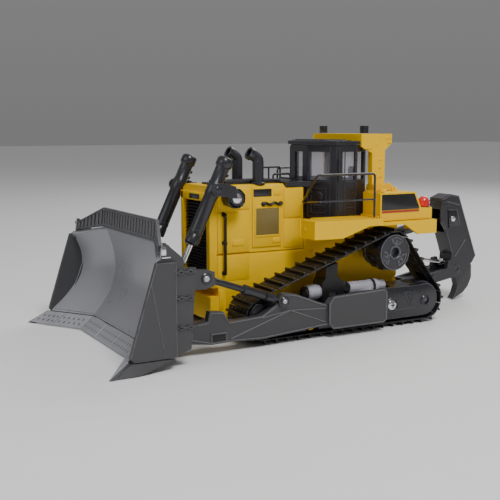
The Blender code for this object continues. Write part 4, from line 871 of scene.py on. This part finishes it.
# ------------------------------------------------------------------ fenders, tank, ROPS, lamps
def fender_trim(tag, side):
    """Bolt, seam and lip of a platform, and the tread marks on it."""
    trim = Piece("fender_trim_" + tag, "yellow", smooth=30)
    trim.dome((11.35, side * 28.0, 46.2), (1, 0, 0), 1.1, 0.35, 20)
    trim.slab(side, (-24.6, -24.0), (20.4, 33.6), (50.0, 50.9), 0.2)
    trim.slab(side, (11.0, 11.9), (24.0, 24.9), (42.6, 50.6), 0.25)
    trim.done()
    tread = Piece("fender_tread_" + tag, "yellow", smooth=30)
    for i in range(9):
        x = 8.0 - i * 3.1
        for j in range(4):
            yy = side * (23.2 + j * 3.0)
            tread.box((x - 0.9, yy - 0.3, 50.1), (x + 0.9, yy + 0.3, 50.45), 0.12,
                Matrix.Rotation(math.radians(45 if (i + j) % 2 else -45), 4, "Z"), 1)
    tread.done()


def tank_trim():
    """Filler caps, bolts and clips of tank and roll-over hoop, plain labels, and lamps."""
    trim = Piece("tank_trim", "yellow", smooth=30)
    for tag, side in SIDES:
        for x in (-33.8, -40.2):
            trim.turned([(1.6, 0), (1.6, 0.7), (1.2, 1.0), (0.6, 1.1), (0, 1.1)], (x, side * 24.5, 60.9),
                (0, 0, 1), 20)
        trim.slab(side, (-28.6, -27.9), (20.4, 32.2), (60.95, 61.7), 0.2)
        for z in (67.9, 72.0, 75.7):
            trim.dome((-35.2, side * 19.95, z), (0, side, 0), 1.0, 0.45, 16)
        trim.dome((-33.0, side * 19.95, 82.6), (0, side, 0), 0.9, 0.4, 14)
        for low, high in (((-41.3, 85.0), (-37.2, 86.2)), ((-41.3, 82.9), (-38.6, 84.0)), ((-30.0, 80.4),
                (-25.4, 81.3))):
            trim.slab(side, (low[0], high[0]), (19.8, 20.4), (low[1], high[1]), 0.2)
        for i in range(3):
            trim.turned([(0.9, 0), (0.9, 0.5), (0.5, 0.8), (0, 0.8)], (-32.0 - i * 3.9, side * 20.3, 63.9),
                (0, 0, 1), 12)
        for x in (-38.6, -40.4):
            trim.slab(side, (x - 0.5, x + 0.5), (24.0, 25.4), (60.9, 63.0), 0.2)
    trim.done()
    for tag, side in SIDES:
        y = side * 33.0
        label = Piece("tank_label_" + tag, "label")
        label.prism([(-26.4, 53.2), (-26.4, 60.3), (-45.0, 60.3), (-47.9, 54.2), (-47.9, 53.2)],
            y - side * 0.1, y + side * 0.2, 0.08)
        label.done()
        stripe = Piece("tank_stripe_" + tag, "stripe")
        stripe.prism([(-26.4, 52.0), (-26.4, 52.9), (-47.9, 52.9), (-47.9, 52.0)], y - side * 0.1,
            y + side * 0.2, 0.05)
        stripe.done()
        lens = Piece("lamp_lens_" + tag, "label")
        lens.slab(side, (-27.2, -26.6), (15.3, 18.0), (88.2, 90.4), 0.12)
        lens.done()
        lamp = Piece("tail_dome_" + tag, "red")
        profile = [(2.8, 0), (2.8, 0.9), (2.7, 1.05), (2.7, 2.0)]
        for i in range(1, 9):
            a = math.pi / 2 * i / 8
            profile.append((2.7 * math.cos(a) if i < 8 else 0.0, 2.0 + 2.75 * math.sin(a)))
        lamp.turned(profile, (-52.9, side * 30.2, 53.9), (0, 0, 1), 36)
        lamp.done("tail_lamp_" + tag)
        base = Piece("tail_base_" + tag, "black")
        base.turned([(2.95, 0), (2.95, 0.35), (2.6, 0.5)], (-52.9, side * 30.2, 53.5), (0, 0, 1), 32)
        base.done()


tank_trim()
for TAG, SIDE in SIDES:
    fender_trim(TAG, SIDE)


# ------------------------------------------------------------------ cab
def cab_trim():
    """Door frames, panel seams and door bars, and the ribbed roof."""
    trim = Piece("cab_trim", "charcoal", smooth=30)
    for _, side in SIDES:
        a, b = Vector((-3.0, side * 7.0, 0)), Vector((-10.8, side * 19.5, 0))
        run = (b - a).normalized()
        out = Vector((run.y, -run.x, 0)) * side
        if out.y * side < 0:
            out = -out
        length = (b - a).length

        def on(t, z, lift=0.0):
            p = a + run * length * t + out * lift
            return p.x, p.y, z

        trim.strip([on(0.04, 49.5, 0), on(0.04, 81.4, 0), on(0.80, 81.4, 0), on(0.80, 49.5, 0)], 0.6, 0.35,
            out)
        trim.strip([on(0.08, 65.4, 0), on(0.78, 65.4, 0)], 0.8, 0.35, out)
        trim.strip([on(0.16, 51.6, 0), on(0.16, 62.6, 0), on(0.66, 62.6, 0), on(0.66, 51.6, 0),
            on(0.16, 51.6, 0)], 0.5, 0.3, out)
        trim.turned([(1.7, 0), (1.7, 0.3), (1.1, 0.45), (0.7, 0.45), (0, 0.45)], on(0.44, 59.2, 0), out, 24)
        trim.strip([on(0.24, 54.4, 0), on(0.58, 54.4, 0)], 1.6, 0.3, out)
        y = side * CAB_Y
        for x in (-12.0, -15.4, -21.6):
            trim.strip([(x, y, 49.0), (x, y, 81.6)], 0.4, 0.3, (0, side, 0))
        trim.strip([(-15.6, y, 65.4), (-22.0, y, 65.4)], 0.8, 0.3, (0, side, 0))
        trim.strip([(-16.6, y, 54.0), (-20.8, y, 54.0)], 0.6, 0.3, (0, side, 0))
        trim.pipe([(-11.6, y, 76.0), (-11.6, y + side * 1.1, 76.0), (-11.6, y + side * 1.1, 66.4),
            (-11.6, y, 66.4)], 0.35, 0.5, 10)
    trim.done()
    roof = Piece("roof_trim", "charcoal", smooth=30)
    roof.box((-22.5, -14.5, 83.9), (-8.2, 14.5, 84.4), 0.3)
    for i in range(6):
        roof.box((-21.0, -13.0 + i * 5.0, 84.4), (-9.0, -12.3 + i * 5.0, 84.75), 0.15, None, 1)
    roof.done()


def cab_inside():
    """Seat, steering wheel on its console, and the post behind the seat."""
    seat = Piece("seat_shape", "black", smooth=40)
    seat.box((-21.6, -4.1, 56.6), (-12.4, 4.1, 59.4), 1.1, None, 3)
    seat.box((-23.4, -4.1, 58.2), (-20.6, 4.1, 67.6), 1.1, Matrix.Rotation(math.radians(-8), 4, "Y"), 3)
    seat.box((-24.0, -2.2, 68.0), (-22.1, 2.2, 71.9), 0.8, None, 3)
    seat.bar((-23.0, 1.2, 66.5), (-23.0, 1.2, 69.0), 0.3, steps=10)
    seat.bar((-23.0, -1.2, 66.5), (-23.0, -1.2, 69.0), 0.3, steps=10)
    seat.box((-20.8, -3.0, 49.0), (-13.6, 3.0, 57.0), 0.8)
    for side in (1, -1):
        seat.box((-20.6, side * 4.8 - 0.7, 60.6), (-14.2, side * 4.8 + 0.7, 61.9), 0.5)
        seat.box((-19.0, side * 4.8 - 0.5, 57.0), (-17.8, side * 4.8 + 0.5, 61.0), 0.3)
    seat.done("operator_seat")
    wheel = Piece("steering_wheel", "black", smooth=60)
    centre = Vector((-5.6, 4.6, 63.2))
    up = Vector((-0.55, 0.0, 0.83)).normalized()
    side = up.orthogonal().normalized()
    other = up.cross(side)
    ring = [centre + (side * math.cos(t) + other * math.sin(t)) * 2.5 for t in [2 * math.pi * i / 24
        for i in range(25)]]
    wheel.pipe([tuple(p) for p in ring], 0.33, 0.1, 8)
    for k in range(3):
        t = 2 * math.pi * k / 3
        p = centre + (side * math.cos(t) + other * math.sin(t)) * 2.4
        wheel.bar(tuple(centre), tuple(p), 0.25, steps=8)
    wheel.bar(tuple(centre), tuple(centre - up * 8.0), 0.55, steps=12)
    wheel.box((-7.4, 1.5, 49.0), (-4.9, 6.5, 57.0), 0.6)
    wheel.done()
    post = Piece("cab_rear_post", "black", smooth=40)
    post.turned([(1.5, 0), (1.5, 18.0), (1.7, 18.4), (1.7, 22.0), (1.2, 22.8), (0, 22.8)], (-25.8, 10.4,
        49.4), (0, 0, 1), 24)
    post.box((-28.0, -11.0, 49.0), (-25.0, 8.0, 60.0), 0.6)
    post.done()


cab_trim()
cab_inside()


# ------------------------------------------------------------------ blade
def wing_share(y):
    """How far out in a wing: 0 up to the fold, 1 at the end plate."""
    return max(0.0, abs(y) - FOLD_Y) / WING


def blade_front(y, z, lift=0.0):
    """A point of the blade's front face at a height, moved out along the face's normal."""
    share = wing_share(y)
    deepest = 77.3 + 9.0 * share
    up = 0.0165 + 0.0165 * share
    down = 0.0205 + 0.0086 * share
    bend = up if z > 29.0 else down
    slope = 2 * bend * (z - 29.0)
    x = deepest + bend * (z - 29.0) ** 2
    n = Vector((1.0, 0, -slope)).normalized() * lift
    return x + n.x, y, z + n.z


def blade_liner():
    """Thin wear plate over the working face, in three panels that meet at the folds."""
    liner = Piece("blade_liner", "liner", "blade", 12)
    steps = 36
    for ends in ((-50.2, -28.0), (-28.0, 28.0), (28.0, 50.2)):
        bm = bmesh.new()
        rows = []
        for i in range(steps + 1):
            row = []
            for y in ends:
                share = wing_share(y)
                top, low = 44.9 - 4.4 * share, 6.4 - 0.3 * share
                z = top + (low - top) * i / steps
                for lift in (0.3, -0.1):
                    row.append(bm.verts.new(vec(*blade_front(y, z, lift))))
            rows.append(row)
        for a, b in zip(rows, rows[1:]):
            for j, k in ((0, 2), (2, 3), (3, 1), (1, 0)):
                bm.faces.new((a[j], a[k], b[k], b[j]))
        first, last = rows[0], rows[-1]
        bm.faces.new((first[0], first[1], first[3], first[2]))
        bm.faces.new((last[0], last[2], last[3], last[1]))
        bmesh.ops.recalc_face_normals(bm, faces=bm.faces)
        liner.add(bm)
    liner.done()


def moldboard_trim():
    """Pale ribs along the folds and the top edge that paint the highlights there, seams of the end plates,
    and stiffeners behind the blade.
    """
    # Pale strips on the folds and the top edge: painted highlights.
    fold_highlights = Piece("moldboard_trim", "bright", "blade", 30)
    for y in (-28.0, 28.0):
        points = [blade_front(y, 45.0 + (6.0 - 45.0) * i / 20, 0.2) for i in range(21)]
        fold_highlights.strip(points, 0.45, 0.22, (1, 0, 0))
    fold_highlights.strip([blade_front(y, 44.9 - 4.4 * wing_share(y), 0.0) for y in (-50, -39, -28, 0, 28, 39, 50)],
        0.7, 0.35, (1, 0, 0.3))
    fold_highlights.done()
    back = Piece("blade_ribs", "gunmetal", "blade", 30)
    for _, side in SIDES:
        y0 = side * 52.1
        for z in (36.6, 26.6, 15.4):
            back.slab(side, (75.2 if z > 30 else 75.8, 84.0), (50.7, 51.6), (z - 0.35, z + 0.35), 0.15)
            back.slab(side, (76.5, 78.2), (50.7, 51.6), (z - 0.9, z + 0.9), 0.2)
            back.slab(side, (80.4, 82.0), (50.7, 51.6), (z - 0.9, z + 0.9), 0.2)
        back.strip([(93.4, y0, 33.0), (88.3, y0, 5.4)], 0.35, 0.22, (0, side, 0))
        back.strip([(83.6, y0, 40.6), (83.6, y0, 5.0)], 0.5, 0.25, (0, side, 0))
        back.strip([(91.2, y0, 40.6), (83.6, y0, 40.6)], 0.45, 0.25, (0, side, 0))
        back.strip([(91.2, y0, 40.7), (93.4, y0, 33.8), (102.0, y0, 6.4)], 0.45, 0.25, (0, side, 0))
    for y in (-38, -25, -8, 8, 25, 38):
        share = wing_share(y)
        x = 77.3 + 9.0 * share - 2.5
        back.prism([(x - 0.2, 43.5 - 3.5 * share), (x - 3.4, 36.0), (x - 3.8, 18.0), (x + 4.0, 8.5),
            (x + 1.0, 18.0), (x, 29.0)], y - 0.7, y + 0.7, 0.15)
    back.done()


def cutting_edge_trim():
    """Edge plates with their seams, and two rows of bolt holes as black marks that paint the shade in them.
    """
    def joint(y):
        share = wing_share(y)
        return Vector((88.6 + 14.3 * share, y, 5.5 - 0.4 * share))

    def heel(y):
        share = max(0.0, abs(y) - FOLD_Y) / (EDGE_Y - FOLD_Y)
        return Vector((95.0 + 16.55 * share, y, 0.0))

    def on(y, t, lift=0.0):
        jy = y if abs(y) <= FOLD_Y else math.copysign(FOLD_Y + (abs(y) - FOLD_Y) * WING / (EDGE_Y - FOLD_Y),
            y)
        a, b = joint(jy), heel(y)
        p = a.lerp(b, t)
        d = (heel(y + 0.5) - heel(y - 0.5)).cross(b - a).normalized()
        if d.z < 0:
            d = -d
        return p + d * lift, d

    plates = Piece("edge_plates", "edge", "blade", 25)
    spans = [(-54.0, -43.2), (-42.8, -28.3), (-27.7, -9.5), (-9.1, 9.1), (9.5, 27.7), (28.3, 42.8),
        (43.2, 54.0)]
    for y0, y1 in spans:
        bm = bmesh.new()
        quad = []
        for y in (y0, y1):
            for t in (0.05, 0.93):
                for lift in (-0.1, 0.32):
                    p, _ = on(y, t, lift)
                    p.z = max(p.z, 0.05)
                    quad.append(bm.verts.new(p * MM))
        a, b, c, d, e, f, g, h = quad
        for face in ((a, b, d, c), (e, g, h, f), (a, e, f, b), (c, d, h, g), (b, f, h, d), (a, c, g, e)):
            bm.faces.new(face)
        bmesh.ops.recalc_face_normals(bm, faces=bm.faces)
        bmesh.ops.bevel(bm, geom=bm.edges[:], offset=0.12 * MM, segments=1, affect="EDGES")
        plates.add(bm)
    plates.done()
    # Black marks for the bolt holes: painted shade in the holes.
    holes = Piece("edge_bolt_hole_shade", "black", "blade", 40)
    ys = [-52.0, -49.4, -46.8, -44.6, -41.0, -38.4, -35.8, -33.2, -30.6]
    ys += [y + i * 2.5 for y in (-26.0, -7.5, 11.0) for i in range(7)]
    ys += [30.6, 33.2, 35.8, 38.4, 41.0, 44.6, 46.8, 49.4, 52.0]
    for y in ys:
        for t in (0.30, 0.62):
            (p, d), (q, _) = on(y, t, 0.30), on(y, t + 0.12, 0.30)
            holes.strip([tuple(p), tuple(q)], 0.55, 0.06, d)
    holes.done()


def guard_trim():
    """Rails along the slotted guard, and a bright clip at each end."""
    trim = Piece("spill_guard_trim", "gunmetal", "blade", 30)
    top, low = [], []
    for y in (-47.6, -30.0, 30.0, 47.6):
        share = (abs(y) - 30.0) / 17.6
        top.append((81.6 + 6.3 * share - 0.8 + 1.05, y, 54.1 - 7.6 * share))
        low.append((81.6 + 6.3 * share + 1.05, y, 46.3 - 2.8 * share))
    trim.strip(top, 0.8, 0.35, (1, 0, 0.1))
    trim.strip(low, 0.9, 0.3, (1, 0, 0.1))
    trim.done()
    clips = Piece("guard_clips", "silver", "blade", 30)
    for side in (1, -1):
        clips.slab(side, (86.9, 88.7), (50.2, 51.2), (43.4, 46.8), 0.25)
        clips.slab(side, (85.0, 88.6), (50.2, 51.0), (42.2, 43.0), 0.2)
    clips.done()


def arm_trim(tag, side):
    """Edge lines and guard rim in a lighter grey that paint edge highlights, a black sheet that paints the
    pocket's shade, pin heads and the brace's sleeve of one push arm.
    """
    out = (0, side, 0)
    face = side * ARM_FACE
    # Lighter strips along the arm's edges: painted edge highlights.
    ribs = Piece("arm_edge_highlights_" + tag, "line", "blade", 30)

    def rib(points, width=0.42, height=0.35):
        ribs.strip([(x, face - side * 0.02, z) for x, z in points], width, height, out)

    rib([(7.6, 14.4), (22.8, 20.2), (29.2, 21.4), (32.6, 16.9), (39.6, 12.9), (55.0, 12.1), (57.6, 16.3),
        (63.0, 16.9), (64.0, 13.1), (68.9, 12.5)])
    rib([(7.6, 6.5), (39.7, 4.2), (54.6, 4.9), (62.3, 4.6), (72.0, 7.0)])
    rib([(8.0, 7.4), (26.0, 14.4)])
    rib([(8.0, 13.4), (26.0, 14.4), (39.6, 12.6)])
    rib([(26.0, 14.4), (54.0, 5.6)], 0.5, 0.3)
    rib([(56.3, 4.6), (56.3, 8.4), (63.0, 8.4), (63.0, 4.8)], 0.55, 0.5)
    ribs.done()
    boss = Piece("arm_boss_" + tag, "gunmetal", "blade", 30)
    boss.dome((74.2, side * 41.0, 8.9), out, 1.9, 0.7, 24, 0.5)
    boss.done()
    # Black sheet over the pocket: painted shade of the recess.
    pocket = Piece("arm_pocket_shade_" + tag, "black", "blade")
    pocket.slab(side, (56.9, 62.4), (ARM_FACE, ARM_FACE + 0.12), (5.2, 7.8), 0.05)
    pocket.done()
    # Rim line round the guard: a painted edge highlight.
    guard = Piece("arm_guard_rim_highlight_" + tag, "line", "blade", 30)
    g = side * 41.3
    ring = [(4.4, 4.5), (-22.4, 4.5), (-23.7, 5.7), (-23.7, 17.4), (-22.5, 18.8), (4.4, 17.9), (6.6, 15.2),
        (6.6, 6.8), (4.4, 4.5)]
    guard.strip([(x, g - side * 0.05, z) for x, z in ring], 0.4, 0.2, out)
    guard.done()
    pins = Piece("brace_domes_" + tag, "lilac", "blade")
    rings = Piece("brace_rings_" + tag, "charcoal", "blade")
    for x, y, z, r in ((66.1, 42.1, 31.5, 2.3), (29.6, 41.4, 18.7, 2.0)):
        rings.turned([(r, 0), (r, 0.3), (r - 0.4, 0.6), (r - 0.9, 0.6), (r - 1.0, 0.3)], (x, side * y, z),
            out, 28)
        pins.dome((x, side * (y + 0.1), z), out, r - 0.9, 0.9, 28)
    pins.done()
    rings.done()
    sleeve = Piece("brace_sleeve_" + tag, "charcoal", "blade")
    low, high = Vector((29.6, side * 38.4, 18.7)), Vector((66.1, side * 38.4, 31.5))
    d = (high - low).normalized()
    base = low + d * 4.5
    sleeve.turned([(1.5, 0), (1.95, 0.3), (1.95, 12.2), (2.1, 12.6), (2.1, 14.6), (1.5, 15.0), (1.35, 15.0),
        (1.35, 30.0), (1.7, 30.2), (1.7, 31.4), (1.3, 31.6)], tuple(base), d, 24)
    for y in (side * 36.9, side * 39.9):
        sleeve.prism([(60.6, 28.2), (61.0, 31.2), (64.6, 34.0), (67.6, 33.6), (68.6, 31.0), (67.0, 29.0)],
            y - 0.35, y + 0.35, 0.15)
    sleeve.done()


def lift_trim(tag, side):
    """Shaped barrel of a lift cylinder, with its cap, ports, gland and trunnion."""
    down = Vector((LIFT_EYE[0] - YOKE_PIVOT[0], 0, LIFT_EYE[1] - YOKE_PIVOT[1])).normalized()
    top = Vector((YOKE_PIVOT[0], side * LIFT_Y, YOKE_PIVOT[1])) - down * 14.4
    barrel = Piece("barrel_shape_" + tag, "charcoal", "lift_barrel_" + tag, 35)
    barrel.turned([(0, 0), (2.6, 0), (3.05, 0.3), (3.5, 1.1), (3.5, 3.6), (3.2, 4.1), (2.9, 4.5),
        (2.9, 11.4), (3.1, 11.8), (3.1, 17.0), (2.9, 17.4), (2.9, 33.0), (3.05, 33.2), (3.05, 34.2),
        (2.9, 34.4), (2.9, 35.0), (3.1, 35.3), (3.1, 38.8), (2.6, 39.4), (1.45, 39.6), (1.45, 36.0)],
        tuple(top), down, 40)
    across = Vector((0, 1, 0))
    front = down.cross(across).normalized()
    for t in (6.6, 9.4):
        p = top + down * t - front * 2.7
        barrel.bar(tuple(p), tuple(p - front * 1.1), 0.8, steps=12)
    barrel.bar((YOKE_PIVOT[0], side * (LIFT_Y + 2.2), YOKE_PIVOT[1]), (YOKE_PIVOT[0], side * 22.2,
        YOKE_PIVOT[1]), 1.3, steps=20)
    barrel.bar((YOKE_PIVOT[0], side * (LIFT_Y + 2.4), YOKE_PIVOT[1]), (YOKE_PIVOT[0], side * 20.7,
        YOKE_PIVOT[1]), 2.3, steps=20)
    barrel.done("lift_barrel_" + tag)


blade_liner()
moldboard_trim()
cutting_edge_trim()
guard_trim()
for TAG, SIDE in SIDES:
    arm_trim(TAG, SIDE)
    lift_trim(TAG, SIDE)


# ------------------------------------------------------------------ ripper
def ripper_trim():
    """Lighter edge lines that paint edge highlights, pins of the carriage, and the shaped link and barrel."""
    trim = Piece("carriage_trim", "charcoal", "ripper_carriage", 30)
    # Lighter strips along the carriage's edges: painted edge highlights.
    edges = Piece("carriage_edge_highlights", "line", "ripper_carriage", 30)
    for side in (1, -1):
        out = (0, side, 0)
        face = side * 4.6
        f = face - side * 0.02
        plate_ = [(-91.4, 47.9), (-96.6, 47.9), (-99.1, 39.7), (-92.2, 38.9)]
        trim.prism(plate_, face - side * 0.1, face + side * 0.6, 0.25)
        edges.strip([(-87.6, f, 53.6), (-92.8, f, 55.7), (-98.2, f, 54.6), (-101.0, f, 48.0),
            (-110.9, f, 23.4)], 0.4, 0.3, out)
        edges.strip([(-103.9, f, 32.2), (-96.8, f, 23.5)], 0.45, 0.35, out)
        edges.strip([(-88.0, f, 42.4), (-90.6, f, 38.0), (-95.2, f, 25.2)], 0.35, 0.3, out)
        edges.strip([(-90.6, f, 52.6), (-99.2, f, 50.4)], 0.5, 0.35, out)
        edges.strip([(-90.9, f + side * 0.6, 48.2), (-96.9, f + side * 0.6, 48.2), (-99.4, f + side * 0.6,
            39.6)], 0.35, 0.2, out)
        trim.dome((-97.0, side * 6.8, 16.5), out, 1.6, 0.6, 20)
    for z in (50.2, 52.0):
        trim.box((-91.5, -4.9, z), (-86.8, 4.9, z + 0.8), 0.2)
    trim.done()
    edges.done()
    pins = Piece("carriage_domes", "silver", "ripper_carriage")
    for side in (1, -1):
        pins.dome((-94.6, side * 5.2, 43.5), (0, side, 0), 1.5, 0.6, 24)
    pins.done()
    link = Piece("link_shape", "charcoal", "ripper_tilt_link", 35)
    a, b = Vector((-53.8, 0, 36.5)), Vector((-93.8, 0, 43.5))
    d = (b - a).normalized()
    link.turned([(0, 2.2), (1.8, 2.2), (2.5, 2.8), (2.5, 24.6), (2.75, 25.0), (2.75, 27.4), (2.3, 27.8),
        (1.25, 27.8)], tuple(a), d, 32)
    link.done()
    rod_ = Piece("link_rod", "rod", "ripper_tilt_link")
    rod_.bar(tuple(a + d * 27.6), tuple(a + d * 38.4), 1.24, steps=24)
    rod_.done()
    barrel = Piece("ripper_barrel_collar", "charcoal", "ripper_lift_barrel", 35)
    a2, b2 = Vector((-54.0, 0, 26.5)), Vector((-92.5, 0, 20.6))
    d2 = (b2 - a2).normalized()
    barrel.turned([(1.7, 18.6), (2.0, 18.9), (2.0, 21.8), (1.7, 22.1), (1.15, 22.1)], tuple(a2), d2, 24)
    barrel.done()


ripper_trim()
